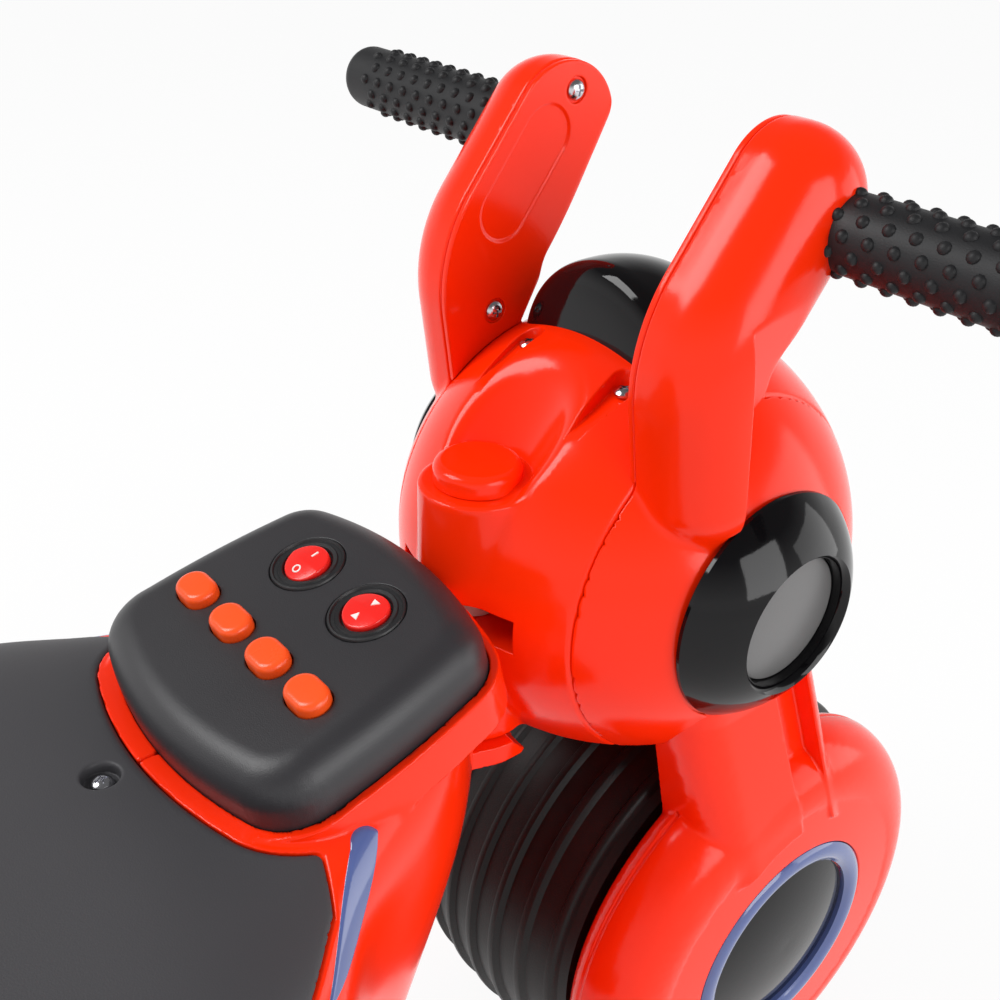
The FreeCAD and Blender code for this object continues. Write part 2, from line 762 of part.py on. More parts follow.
# Console: a shield-shaped cover on a sloping plane, in a raised rim of the body
console_place = FreeCAD.Placement(Vector(eye_x - console_back, 0, eye_z - console_drop),
                                  FreeCAD.Rotation(Vector(0, 1, 0), -console_tilt))


def console_prism(grow, low, high):
    side = console_half_width + grow
    rear = -grow
    front = console_length + grow
    wire = outline(lambda u, v: Vector(u, v, low),
                   (rear + 6, 0.72 * -side),
                   ((rear, 0.0), (rear + 6, 0.72 * side)),
                   ((rear + 13.5, 0.925 * side), (rear + 29, side)),
                   ((rear + 55, 0.98 * side), (front - 19.5, 0.92 * side)),
                   ((front - 11.25, 0.851 * side), (front - 6.25, 0.716 * side)),
                   ((front, 0.0), (front - 6.25, -0.716 * side)),
                   ((front - 11.25, -0.851 * side), (front - 19.5, -0.92 * side)),
                   ((rear + 55, -0.98 * side), (rear + 29, -side)),
                   ((rear + 13.5, -0.925 * side), (rear + 6, -0.72 * side)))
    prism = Part.Face(wire).extrude(Vector(0, 0, high - low))
    return prism


def on_console(shape):
    placed = shape.copy()
    placed.Placement = console_place.multiply(shape.Placement)
    return placed


def console_u(behind_eye):
    # Distance along the console of a place measured behind the eyes on its top face.
    run = console_back - behind_eye + console_height * math.sin(math.radians(console_tilt))
    return run / math.cos(math.radians(console_tilt))


cover = console_prism(0.0, -console_skirt, console_height)
cover = cover.makeFillet(console_edge, [edge for edge in cover.Edges
                                        if edge.CenterOfMass.z > console_height - 0.01])
hollow = console_prism(-console_wall, -console_skirt, console_height - console_wall)
hollow = hollow.makeFillet(console_edge - console_wall,
                           [edge for edge in hollow.Edges
                            if edge.CenterOfMass.z > console_height - console_wall - 0.01])
cover = cover.cut(hollow)


def pill(u, v, length, width, low, high):
    straight = (length - width) / 2
    middle = Part.makeBox(width, 2 * straight, high - low, Vector(u - width / 2, v - straight, low))
    ends = [rod_z(u, v + end * straight, width / 2, low, high) for end in (-1, 1)]
    return joined(middle, *ends)


button_u = console_u(button_back)
button_places = [(button_u, (index - (button_count - 1) / 2) * button_pitch)
                 for index in range(button_count)]
under_top = console_height - console_wall
board_top = under_top - button_flange - button_travel - 2 * play
buttons = []
for u, v in button_places:
    cover = cover.cut(pill(u, v, button_length + 2 * play, button_width + 2 * play, 0, far))
    cap = pill(u, v, button_length, button_width, under_top - play - button_flange / 2,
               console_height + button_rise)
    cap = cap.makeFillet(1.8, [edge for edge in cap.Edges
                               if edge.CenterOfMass.z > console_height + button_rise - 0.01])
    flange = pill(u, v, button_length + 4, button_width + 4, under_top - play - button_flange,
                  under_top - play)
    stem = rod_z(u, v, 2.0, board_top + button_travel + play, under_top - play)
    buttons.append(joined(cap, flange, stem))

switch_u = console_u(switch_back)
bezels = []
rockers = []
rocker_tilts = (-rocker_swing, 0.0)
switch_top = console_height
well_floor = switch_top - switch_well_depth
pin_level = switch_top - 1.5
for v, tilt in zip((switch_offset, -switch_offset), rocker_tilts):
    cover = cover.cut(rod_z(switch_u, v, switch_body_radius + joint_gap, 0, far))
    cover = cover.cut(rod_z(switch_u, v, switch_flange_radius + joint_gap, switch_top - 1.0, far))
    bezel = joined(rod_z(switch_u, v, switch_flange_radius, switch_top - 1.0, switch_top + 0.6),
                   rod_z(switch_u, v, switch_body_radius, switch_top - switch_body_depth, switch_top))
    bezel = bezel.cut(rod_z(switch_u, v, switch_well_radius, well_floor, far))
    bezel = bezel.cut(rod_y(switch_u, pin_level, rocker_pin_radius + shaft_fit,
                            v - switch_well_radius - 1.2, v + switch_well_radius + 1.2))
    bezels.append(bezel)
    rocker = rod_z(switch_u, v, rocker_radius, switch_top - 3.4, switch_top + 2.2)
    for turn in (-1, 1):
        blade = box(-far, far, -far, far, switch_top + 1.6, far)
        blade.rotate(Vector(switch_u, v, switch_top + 1.6), Vector(0, 1, 0), turn * rocker_swing)
        rocker = rocker.cut(blade)
    pin = rod_y(switch_u, pin_level, rocker_pin_radius,
                v - switch_well_radius - 1.0, v + switch_well_radius + 1.0)
    rocker = joined(rocker, pin)
    rocker.rotate(Vector(switch_u, v, pin_level), Vector(0, 1, 0), tilt)
    rockers.append(rocker)

board_length = button_count * button_pitch
sound_board = Part.makeBox(board_width, board_length, board_thickness,
                           Vector(button_u - board_width / 2, -board_length / 2, board_top - board_thickness))
for u, v in button_places:
    sound_board = sound_board.fuse(rod_z(u, v, 1.8, board_top - board_thickness, board_top + play))
board_posts = [rod_z(button_u + board_post_ahead, side * button_pitch, board_post_radius, board_top, under_top)
               for side in (-1, 1)]
cover = joined(cover, *board_posts)

save("console_cover", on_console(cover))
for index, button in enumerate(buttons):
    save("sound_button_" + str(index + 1), on_console(button))
save("switch_bezels", *[on_console(bezel) for bezel in bezels])
save("rocker_power", on_console(rockers[0]))
save("rocker_direction", on_console(rockers[1]))
save("sound_board", on_console(sound_board))

rim_foot = console_skirt + wall
rim = on_console(console_prism(rim_width, -rim_foot, rim_height).cut(
    console_prism(joint_gap, -console_skirt, far)).cut(
    console_prism(-well_inset, -far, far)))
console_room = on_console(console_prism(joint_gap, -console_skirt, far))
console_well = on_console(console_prism(-well_inset, -well_depth, far))
seat_clear = on_console(console_prism(rim_width + seat_band, -far / 8, far))

# Seat: the top of the body form behind a raked front edge, down to a level skirt
tail_x = eye_x - body_stations[-1][0]
seat_rear_x = tail_x + 14
seat_front_x = eye_x - seat_front_back
seat_front_wire = outline(lambda x, z: Vector(x, -far / 4, z),
                          (seat_front_x, eye_z + 60),
                          (seat_front_x, eye_z - seat_front_drop),
                          (seat_front_x - seat_corner_run, eye_z - seat_corner_drop),
                          (seat_front_x - seat_side_run, eye_z - seat_side_drop),
                          (seat_front_x - seat_sweep_run, eye_z - seat_skirt_drop),
                          (seat_rear_x, eye_z - seat_skirt_drop),
                          (seat_rear_x, eye_z + 60),
                          (seat_front_x, eye_z + 60))
seat_region = Part.Face(seat_front_wire).extrude(Vector(0, far / 2, 0))
seat_hollow = body_form(seat_wall)
seat = body_outer.common(seat_region).cut(seat_hollow).cut(seat_clear)
seat_screw_places = ((eye_x - seat_screw_back, 0.0), (eye_x - seat_rear_screw_back, 0.0))
countersink = 4.0
posts = []
seat_screws = []
for x, y in seat_screw_places:
    top = body_top(x)
    seat_under = top - seat_wall - 4.0
    pad = rod_z(x, y, 9.0, seat_under, top + 20).common(body_form(seat_wall / 2))
    seat = joined(seat, pad)
    seat = seat.cut(rod_z(x, y, screw_head_radius + 2.0, top - countersink, far))
    seat = seat.cut(rod_z(x, y, screw_radius, seat_under - 1, far))
    posts.append((x, y, seat_under - joint_gap))
    head = rod_z(x, y, screw_head_radius, top - countersink, top - countersink + screw_head_height)
    shank = rod_z(x, y, screw_radius - joint_gap, seat_under - 12, top - countersink)
    seat_screws.append(head.fuse(shank))
seat = max(seat.Solids, key=lambda solid: solid.Volume)
save("seat", seat)
save("seat_screws", *seat_screws)

# Side lights: blue strips let into the flanks beside the front edge of the seat
strip_proud = 0.8
strip_sink = 2.0
strip_head = (150.5, 21.0)
strip_belly = (163.0, 33.0)
strip_tip = (189.0, 34.5)
strip_back = (174.0, 26.0)
strip_shoulder = (159.0, 19.0)


def strip_blade(grow):
    head = (eye_x - strip_head[0] + grow, eye_z - strip_head[1])
    tip = (eye_x - strip_tip[0] - 2 * grow, eye_z - strip_tip[1] - grow)
    shoulder = (eye_x - strip_shoulder[0] + grow, eye_z - strip_shoulder[1] + grow)
    wire = outline(lambda x, z: Vector(x, 0, z), head,
                   ((eye_x - strip_belly[0], eye_z - strip_belly[1] - grow), tip),
                   ((eye_x - strip_back[0], eye_z - strip_back[1] + grow), shoulder),
                   head)
    return Part.Face(wire).extrude(Vector(0, far / 4, 0))


strip = body_form(-strip_proud).common(strip_blade(0.0)).cut(body_form(strip_sink))
strip_room = strip_blade(joint_gap).common(body_form(-1.0)).cut(body_form(strip_sink + joint_gap))
save("side_lights", strip, mirrored(strip))

# Rear axle, wheels and their push-on caps
wheel_middle = rear_wheel_inner + rear_tyre_width / 2
wheel_outer = rear_wheel_inner + rear_tyre_width
hub_half = rear_tyre_width / 2 + 2.0
rear_bore = rear_axle_radius + shaft_fit
rear_tyre = ridged_tyre(rear_axle_x, rear_axle_z, rear_tyre_radius, rear_tyre_width / 2, 5.0,
                        rear_ridge_count, rear_ridge_depth, rear_rim_radius, wheel_middle)
rear_rim = spool_rim(rear_axle_x, rear_axle_z, rear_rim_radius, rear_tyre_width / 2,
                     rear_hub_radius, hub_half, rear_bore, wheel_middle)
save("rear_tyre_left", rear_tyre)
save("rear_tyre_right", mirrored(rear_tyre))
save("rear_rim_left", rear_rim)
save("rear_rim_right", mirrored(rear_rim))
cap_start = wheel_middle + hub_half + play
axle_tip = cap_start + cap_length - 2
rear_axle = rod_y(rear_axle_x, rear_axle_z, rear_axle_radius, -axle_tip, axle_tip)
save("rear_axle", rear_axle)
cap = rod_y(rear_axle_x, rear_axle_z, cap_radius, cap_start, cap_start + cap_length)
cap = cap.makeFillet(2.5, [edge for edge in cap.Edges
                           if edge.CenterOfMass.y > cap_start + cap_length - 0.01])
cap = cap.cut(rod_y(rear_axle_x, rear_axle_z, rear_axle_radius, 0, axle_tip))
save("axle_caps", cap, mirrored(cap))


# Drive: motor pinion, two stepped gears and an output gear whose hub turns the left wheel
def spur_gear(teeth, module, x, z, tooth_angle, y0, y1):
    pitch = teeth * module / 2
    base = pitch * math.cos(math.radians(20))
    tip = pitch + 0.8 * module
    root = pitch - 1.05 * module
    thick = math.pi / (2 * teeth) - gear_backlash / (2 * pitch)
    lean = math.tan(math.radians(20)) - math.radians(20)
    flank = []
    for share in (0.0, 0.35, 0.7, 1.0):
        radius = base + share * (tip - base)
        roll = math.sqrt(max(0.0, (radius / base) ** 2 - 1))
        flank.append((radius, thick + lean - (roll - math.atan(roll))))
    half = [(root, flank[0][1])] + flank
    points = []
    for tooth in range(teeth):
        middle = tooth_angle + 2 * math.pi * tooth / teeth
        for radius, angle in [(r, -a) for r, a in half] + half[::-1]:
            turn = middle + angle
            points.append(Vector(x + radius * math.cos(turn), y0, z + radius * math.sin(turn)))
    face = Part.Face(Part.makePolygon(points + points[:1]))
    return face.extrude(Vector(0, y1 - y0, 0))


def step_from(place, angle, distance):
    return (place[0] + distance * math.cos(angle), place[1] + distance * math.sin(angle))


stage_distance = gear_module * (small_teeth + large_teeth) / 2
pinion_distance = pinion_module * (small_teeth + large_teeth) / 2
output_place = (rear_axle_x, rear_axle_z)
angle_second = math.radians(60)
angle_first = math.radians(0)
angle_pinion = math.radians(30)
second_place = step_from(output_place, angle_second, stage_distance)
first_place = step_from(second_place, angle_first, stage_distance)
pinion_place = step_from(first_place, angle_pinion, pinion_distance)
small_gap = math.pi / small_teeth
output_end = case_outer_y - case_wall - play
output_start = output_end - gear_width
second_end = output_start - layer_gap
second_start = second_end - gear_width
first_end = second_start - layer_gap
first_start = first_end - gear_width
case_inner_y = first_start - play - case_wall
gear_pin_radius = 2.0

output_gear = joined(spur_gear(large_teeth, gear_module, *output_place, angle_second,
                               output_start, output_end),
                     rod_y(*output_place, output_hub_radius, output_start, wheel_middle - hub_half))
output_gear = output_gear.cut(rod_y(*output_place, rear_bore, 0, far))
second_gear = joined(spur_gear(small_teeth, gear_module, *second_place,
                               angle_second + math.pi + small_gap, second_end, output_end),
                     spur_gear(large_teeth, gear_module, *second_place, angle_first,
                               second_start, second_end))
second_gear = second_gear.cut(rod_y(*second_place, gear_pin_radius + shaft_fit, 0, far))
first_gear = joined(spur_gear(small_teeth, gear_module, *first_place,
                              angle_first + math.pi + small_gap, first_end, second_end),
                    spur_gear(large_teeth, pinion_module, *first_place, angle_pinion,
                              first_start, first_end))
first_gear = first_gear.cut(rod_y(*first_place, gear_pin_radius + shaft_fit, 0, far))
motor_shaft = 1.15
pinion = spur_gear(small_teeth, pinion_module, *pinion_place, angle_pinion + math.pi + small_gap,
                   first_start, first_end)
pinion = pinion.cut(rod_y(*pinion_place, motor_shaft + shaft_fit, 0, far))
save("output_gear", output_gear)
save("reduction_gear_2", second_gear)
save("reduction_gear_1", first_gear)
save("motor_pinion", pinion)

case_margin = case_wall + 2.0
tooth_reach = 0.8 * gear_module
large_reach = large_teeth * gear_module / 2 + tooth_reach
case_low = rear_axle_z - large_reach - case_margin
case_high = pinion_place[1] + motor_radius + case_wall
case_rear = rear_axle_x - large_reach - case_margin
case_front = pinion_place[0] + motor_radius + case_wall
case_split = (second_start + second_end) / 2
case_block = box(case_rear, case_front, case_inner_y, case_outer_y, case_low, case_high)
case_block = case_block.makeFillet(8.0, [edge for edge in case_block.Edges
                                         if abs(edge.tangentAt(edge.FirstParameter).y) > 0.9])
case_cavity = box(case_rear + case_wall, case_front - case_wall, case_inner_y + case_wall,
                  case_outer_y - case_wall, case_low + case_wall, case_high - case_wall)
case_cavity = case_cavity.makeFillet(6.0, [edge for edge in case_cavity.Edges
                                           if abs(edge.tangentAt(edge.FirstParameter).y) > 0.9])
case = case_block.cut(case_cavity)
case = case.cut(rod_y(*output_place, output_hub_radius + play, output_end, far))
case = case.cut(rod_y(*output_place, rear_axle_radius + joint_gap, -far, far))
case = case.cut(rod_y(*pinion_place, 5.0, -far, first_start))
case_outer = case.common(box(-far, far, case_split, far, -far, far))
case_inner = case.common(box(-far, far, -far, case_split, -far, far))
gear_pins = [rod_y(*place, gear_pin_radius, case_inner_y, case_outer_y - case_wall)
             for place in (second_place, first_place)]
case_inner = joined(case_inner, *gear_pins)
save("gearbox_case_inner", case_inner)
save("gearbox_case_outer", case_outer)
motor = joined(rod_y(*pinion_place, motor_radius, case_inner_y - motor_length, case_inner_y),
               rod_y(*pinion_place, 4.5, case_inner_y, case_inner_y + case_wall),
               rod_y(*pinion_place, motor_shaft, case_inner_y, first_end - play))
save("motor", motor)

# Under tray with the battery and the speaker on it
tray_front = eye_x - tray_front_back
tray_rear = rear_axle_x + tray_rear_ahead
tray_top = underside_height + wall
tray_opening = box(tray_rear + tray_lip, tray_front - tray_lip, -tray_half_width + tray_lip,
                   tray_half_width - tray_lip, underside_height - 20, tray_top + 20)
tray_room = box(tray_rear - joint_gap, tray_front + joint_gap, -tray_half_width - joint_gap,
                tray_half_width + joint_gap, underside_height - 20, underside_height + wall - 1.0)
tray = box(tray_rear, tray_front, -tray_half_width, tray_half_width,
           underside_height - 2.0, underside_height + wall - 1.0)
plug_inset = tray_lip + 2 * joint_gap
tray_plug = box(tray_rear + plug_inset, tray_front - plug_inset, -tray_half_width + plug_inset,
                tray_half_width - plug_inset, underside_height, tray_top + 1)
battery_front = tray_front - battery_setback
battery = box(battery_front - battery_length, battery_front, -battery_width / 2, battery_width / 2,
              tray_top + 1, tray_top + 1 + battery_height)
battery = battery.makeFillet(2.0, battery.Edges)
terminals = [box(battery_front - 12, battery_front - 6, side * 20 - 2.4, side * 20 + 2.4,
                 tray_top + battery_height, tray_top + battery_height + 7) for side in (-1, 1)]
battery = joined(battery, *terminals)
speaker_x = battery_front - battery_length - speaker_radius - 8.0
speaker_z = tray_top + 1
speaker = joined(rod_z(speaker_x, 0, speaker_radius, speaker_z, speaker_z + 3),
                 Part.makeCone(speaker_radius - 3, 12.0, speaker_depth - 8,
                               Vector(speaker_x, 0, speaker_z + 3)),
                 rod_z(speaker_x, 0, 12.0, speaker_z + speaker_depth - 8, speaker_z + speaker_depth))
tray = joined(tray, tray_plug)
for ring in (0, 8, 15):
    holes = max(1, int(ring * 0.8))
    for hole in range(holes):
        turn = 2 * math.pi * hole / holes
        tray = tray.cut(rod_z(speaker_x + ring * math.cos(turn), ring * math.sin(turn), 1.6, 0, far))
save("under_tray", tray)
save("battery", battery)
save("speaker", speaker)

# Foot boards beside the body, with the accelerator pedal on the right one
board_front = eye_x - board_front_back
board_rear = eye_x - board_rear_back
board_top_z = board_height
foot_board = box(board_rear, board_front, board_root, board_half_span, board_top_z - board_depth, board_top_z)
foot_board = foot_board.makeFillet(board_corner, [edge for edge in foot_board.Edges
                                          if abs(edge.tangentAt(edge.FirstParameter).z) > 0.9
                                          and edge.CenterOfMass.y > board_half_span - 1])
foot_board = foot_board.makeFillet(2.5, [edge for edge in foot_board.Edges
                                         if edge.CenterOfMass.y > 70])
pedal_middle_y = -(board_half_span - pedal_inset - pedal_width / 2)
pedal_rear = board_rear + pedal_setback
pedal_pivot_x = pedal_rear + pedal_hinge_height
pedal_pivot_z = board_top_z + pedal_hinge_height
pedal_front = pedal_rear + pedal_length
pedal_angle = math.degrees(math.atan2(pedal_lift, pedal_length))
pedal_y0 = pedal_middle_y - pedal_width / 2
pedal_y1 = pedal_middle_y + pedal_width / 2
pedal = box(pedal_pivot_x, pedal_front, pedal_y0, pedal_y1,
            pedal_pivot_z - pedal_thickness / 2, pedal_pivot_z + pedal_thickness / 2)
pedal = pedal.makeFillet(2.0, [edge for edge in pedal.Edges
                               if edge.CenterOfMass.x > pedal_pivot_x + 1])
pedal.rotate(Vector(pedal_pivot_x, 0, pedal_pivot_z), Vector(0, 1, 0), -pedal_angle)
barrel = rod_y(pedal_pivot_x, pedal_pivot_z, pedal_barrel_radius, pedal_y0, pedal_y1)
hinge_pin = rod_y(pedal_pivot_x, pedal_pivot_z, pedal_pin_radius, pedal_y0 - pedal_lug, pedal_y1 + pedal_lug)
pedal = joined(pedal, barrel, hinge_pin)
save("accelerator_pedal", pedal)
pedal_lugs = []
for y0 in (pedal_y0 - play - pedal_lug, pedal_y1 + play):
    y1 = y0 + pedal_lug
    lug = joined(box(pedal_pivot_x - pedal_lug, pedal_pivot_x + pedal_lug, y0, y1, board_top_z - 2,
                     pedal_pivot_z),
                 rod_y(pedal_pivot_x, pedal_pivot_z, pedal_lug, y0, y1))
    pedal_hole = rod_y(pedal_pivot_x, pedal_pivot_z, pedal_pin_radius + shaft_fit, y0 - 1, y1 + 1)
    pedal_lugs.append(lug.cut(pedal_hole))
switch_x = pedal_front - 20.0
pedal_switch = joined(box(switch_x - 10, switch_x + 10, pedal_middle_y - 3, pedal_middle_y + 3,
                          board_top_z, board_top_z + 2.5),
                      box(switch_x - 1.5, switch_x + 1.5, pedal_middle_y - 2, pedal_middle_y + 2,
                          board_top_z + 2.4, board_top_z + 3.4))
save("pedal_switch", pedal_switch)

# Charging socket in the left flank under the seat
socket_x = eye_x - socket_back
socket_z = eye_z - socket_drop
socket_y = body_flank(socket_x, socket_z)
socket = joined(rod_y(socket_x, socket_z, socket_flange, socket_y + 1.2, socket_y + 3.6),
                rod_y(socket_x, socket_z, socket_radius, socket_y - 14, socket_y + 3.6))
socket = socket.cut(rod_y(socket_x, socket_z, 2.75, socket_y - 8, far))
socket = joined(socket, rod_y(socket_x, socket_z, 1.05, socket_y - 9, socket_y + 1.5))
save("charging_socket", socket)

# Body shells: the form with its lugs, rim, bulkheads, posts and boards, halved on the centre plane
body = body_outer.cut(body_inner)
pieces = []
for (x, y, top) in posts:
    web = box(x - bulkhead_thickness / 2, x + bulkhead_thickness / 2, -far / 4, far / 4,
              case_high + 6, eye_z - seat_skirt_drop - 4).common(body_middle)
    post = rod_z(x, y, 6.0, case_high + 20, top)
    pieces.extend([web, post])
lug_root = eye_x - body_stations[0][0] - 14.0
for low, high in ((lug_bottom, lug_top), (lower_lug_bottom, lower_lug_top)):
    eye = rod_z(steer_x, 0, lug_radius, low, high)
    neck = box(lug_root, steer_x, -lug_neck_half_width, lug_neck_half_width, low, high)
    pieces.extend([eye, neck])
axle_bosses = [rod_y(rear_axle_x, rear_axle_z, 12.0, -120.0, -70.0).common(body_middle)]
screw_places = [(eye_x - back, eye_z - drop) for back, drop in body_screw_backs_and_drops]
screw_places.append((rear_axle_x - tail_screw_back, eye_z - tail_screw_drop))
screw_posts = [rod_y(x, z, 6.0, -far / 4, far / 4).common(body_middle) for x, z in screw_places]
for turn in (-steering_swing, steering_swing):
    swung = math.radians(turn)
    rim = rim.cut(ball(steer_x + (head_x - steer_x) * math.cos(swung), (head_x - steer_x) * math.sin(swung),
                       head_z, head_radius + boss_clearance))
body = body.multiFuse([rim, *pieces, *axle_bosses, *screw_posts])
body = body.cut(console_room).cut(console_well)
body = body.cut(seat_region.cut(seat_clear))
post_tops = [rod_z(x, y, 6.0, case_high + 20, top) for (x, y, top) in posts]
body = body.multiFuse(post_tops)
for x, y, top in posts:
    body = body.cut(rod_z(x, y, screw_radius, top - 14, top + 1))
right_board = joined(mirrored(foot_board), *pedal_lugs)
body = body.multiFuse([foot_board.cut(body_middle), right_board.cut(body_middle)])
for low, high in ((lug_bottom, lug_top), (lower_lug_bottom, lower_lug_top)):
    body = body.cut(rod_z(steer_x, 0, bush_radius, low - 1, high + 1))
body = body.cut(rod_y(rear_axle_x, rear_axle_z, rear_axle_radius + joint_gap, -far, far))
body = body.cut(rod_y(rear_axle_x, rear_axle_z, output_hub_radius + play, case_outer_y, far))
body = body.cut(rod_z(steer_x, 0, boss_radius + boss_clearance, lug_top, far))
body = body.cut(tray_opening).cut(tray_room)
body = body.cut(strip_room).cut(mirrored(strip_room))
body = body.cut(rod_y(socket_x, socket_z, socket_radius + joint_gap, 0, far))
screws = []
for x, z in screw_places:
    flank = -body_flank(x, z)
    head_seat = flank + 8.0
    body = body.cut(rod_y(x, z, screw_head_radius + joint_gap, flank - 5, head_seat))
    body = body.cut(rod_y(x, z, screw_radius, head_seat - 1, 20.0))
    head = rod_y(x, z, screw_head_radius, head_seat - screw_head_height, head_seat)
    shank = rod_y(x, z, screw_radius - joint_gap, head_seat, 18.0)
    screws.append(head.fuse(shank))
save("body_screws", *screws)
left = body.common(box(-far, far, 0, far, -far, far))
right = body.common(box(-far, far, -far, 0, -far, far))
save("body_shell_left", max(left.Solids, key=lambda solid: solid.Volume))
save("body_shell_right", max(right.Solids, key=lambda solid: solid.Volume))
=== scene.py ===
import math

import bmesh
import bpy
import numpy as np
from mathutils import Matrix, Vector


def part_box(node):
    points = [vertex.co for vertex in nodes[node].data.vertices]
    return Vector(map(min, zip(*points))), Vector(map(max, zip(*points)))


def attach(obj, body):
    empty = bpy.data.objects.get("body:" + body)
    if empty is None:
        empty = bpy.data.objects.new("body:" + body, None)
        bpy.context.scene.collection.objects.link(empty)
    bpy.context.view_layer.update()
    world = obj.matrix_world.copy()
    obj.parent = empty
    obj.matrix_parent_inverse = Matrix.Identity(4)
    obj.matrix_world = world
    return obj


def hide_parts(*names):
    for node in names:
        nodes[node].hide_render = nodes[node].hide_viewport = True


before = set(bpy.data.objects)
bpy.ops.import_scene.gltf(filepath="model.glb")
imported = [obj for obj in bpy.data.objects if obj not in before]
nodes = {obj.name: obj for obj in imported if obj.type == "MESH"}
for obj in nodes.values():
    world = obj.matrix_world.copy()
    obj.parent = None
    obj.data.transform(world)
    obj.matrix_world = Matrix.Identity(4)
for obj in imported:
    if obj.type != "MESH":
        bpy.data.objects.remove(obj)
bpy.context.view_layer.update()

import openvdb
from mathutils import Matrix, Vector


# Front tyre: one wide hollow tyre of black rubber, moulded with seven thin ribs round its tread.
# It is pressed over the spool of the front rim and rolls with it.
def paint(red, green, blue):
    """A colour as it is seen on a screen, as the linear colour that the shader takes."""
    parts = [value / 255 for value in (red, green, blue)]
    return [value / 12.92 if value < 0.04 else ((value + 0.055) / 1.055) ** 2.4 for value in parts]


def lathe(name, centre, axis, profile, steps=144):
    """Draws an outline of (radius, along) by extruding a point, and spins it round the axle."""
    along = Vector([float(letter == axis) for letter in "XYZ"])
    across = Vector((0, 0, 1)) if axis == "X" else Vector((1, 0, 0))
    points = [Vector(centre) + across * radius + along * reach for radius, reach in profile]
    bpy.ops.object.select_all(action="DESELECT")
    bpy.ops.mesh.primitive_plane_add(size=0.001, location=points[0])
    piece = bpy.context.object
    piece.name = name
    bpy.ops.object.mode_set(mode="EDIT")
    bpy.ops.mesh.merge(type="CENTER")
    for here, there in zip(points, points[1:]):
        bpy.ops.mesh.extrude_region_move(TRANSFORM_OT_translate={"value": there - here})
    bpy.ops.mesh.select_all(action="SELECT")
    bpy.ops.mesh.spin(steps=steps, angle=2 * math.pi, center=centre, axis=along)
    bpy.ops.mesh.select_all(action="SELECT")
    bpy.ops.mesh.remove_doubles(threshold=0.00002)
    bpy.ops.mesh.normals_make_consistent(inside=False)
    bpy.ops.object.mode_set(mode="OBJECT")
    bpy.ops.object.transform_apply()
    bpy.ops.object.shade_smooth_by_angle(angle=math.radians(35))
    return piece


def socket(group, name, direction, kind, value=None):
    made = group.interface.new_socket(name, in_out=direction, socket_type=kind)
    if value is not None:
        made.default_value = value


def reckoned(tree, operation, *values):
    """The result of a sum in a node tree, on sockets and plain numbers."""
    sum_node = tree.nodes.new("ShaderNodeMath")
    sum_node.operation = operation
    for place, value in zip(sum_node.inputs, values):
        if isinstance(value, float):
            place.default_value = value
        else:
            tree.links.new(value, place)
    return sum_node.outputs[0]


moulded_skin = bpy.data.node_groups.new("moulded_skin", "ShaderNodeTree")
socket(moulded_skin, "Color", "INPUT", "NodeSocketColor", (0.5, 0.5, 0.5, 1.0))
for name, value in (("Mottle", 0.05), ("Gloss", 0.3), ("Smear", 0.05), ("Grain per metre", 900.0)):
    socket(moulded_skin, name, "INPUT", "NodeSocketFloat", value)
socket(moulded_skin, "Color", "OUTPUT", "NodeSocketColor")
socket(moulded_skin, "Roughness", "OUTPUT", "NodeSocketFloat")
socket(moulded_skin, "Height", "OUTPUT", "NodeSocketFloat")
skin_nodes = moulded_skin.nodes
skin_in = skin_nodes.new("NodeGroupInput")
skin_out = skin_nodes.new("NodeGroupOutput")
spot = skin_nodes.new("ShaderNodeTexCoord")
cloud = skin_nodes.new("ShaderNodeTexNoise")
cloud.inputs["Scale"].default_value = 26.0
cloud.inputs["Detail"].default_value = 5.0
grain = skin_nodes.new("ShaderNodeTexNoise")
grain.inputs["Detail"].default_value = 3.0
tone = skin_nodes.new("ShaderNodeVectorMath")
tone.operation = "SCALE"
shift = reckoned(moulded_skin, "SUBTRACT", cloud.outputs[0], 0.5)
spread = reckoned(moulded_skin, "MULTIPLY_ADD", shift, skin_in.outputs["Mottle"], 1.0)
rub = reckoned(moulded_skin, "MULTIPLY_ADD", shift, skin_in.outputs["Smear"], skin_in.outputs["Gloss"])
for source, end in ((spot.outputs["Object"], cloud.inputs["Vector"]),
                    (spot.outputs["Object"], grain.inputs["Vector"]),
                    (skin_in.outputs["Grain per metre"], grain.inputs["Scale"]),
                    (skin_in.outputs["Color"], tone.inputs[0]), (spread, tone.inputs["Scale"]),
                    (tone.outputs[0], skin_out.inputs["Color"]), (rub, skin_out.inputs["Roughness"]),
                    (grain.outputs[0], skin_out.inputs["Height"])):
    moulded_skin.links.new(source, end)


def finish(name, colour, roughness, grain_per_metre, relief, mottle=0.08, smear=0.1, shine=0.5):
    """A moulded material: its colour and gloss vary a little, and its grain stands by the relief."""
    material = bpy.data.materials.new(name)
    material.use_nodes = True
    tree = material.node_tree
    shader = tree.nodes["Principled BSDF"]
    skin = tree.nodes.new("ShaderNodeGroup")
    skin.node_tree = moulded_skin
    skin.inputs["Color"].default_value = (*colour, 1.0)
    skin.inputs["Mottle"].default_value = mottle
    skin.inputs["Gloss"].default_value = roughness
    skin.inputs["Smear"].default_value = smear
    skin.inputs["Grain per metre"].default_value = grain_per_metre
    shader.inputs["Specular IOR Level"].default_value = shine
    bump = tree.nodes.new("ShaderNodeBump")
    bump.inputs["Distance"].default_value = relief
    tree.links.new(skin.outputs["Color"], shader.inputs["Base Color"])
    tree.links.new(skin.outputs["Roughness"], shader.inputs["Roughness"])
    tree.links.new(skin.outputs["Height"], bump.inputs["Height"])
    tree.links.new(bump.outputs["Normal"], shader.inputs["Normal"])
    return material


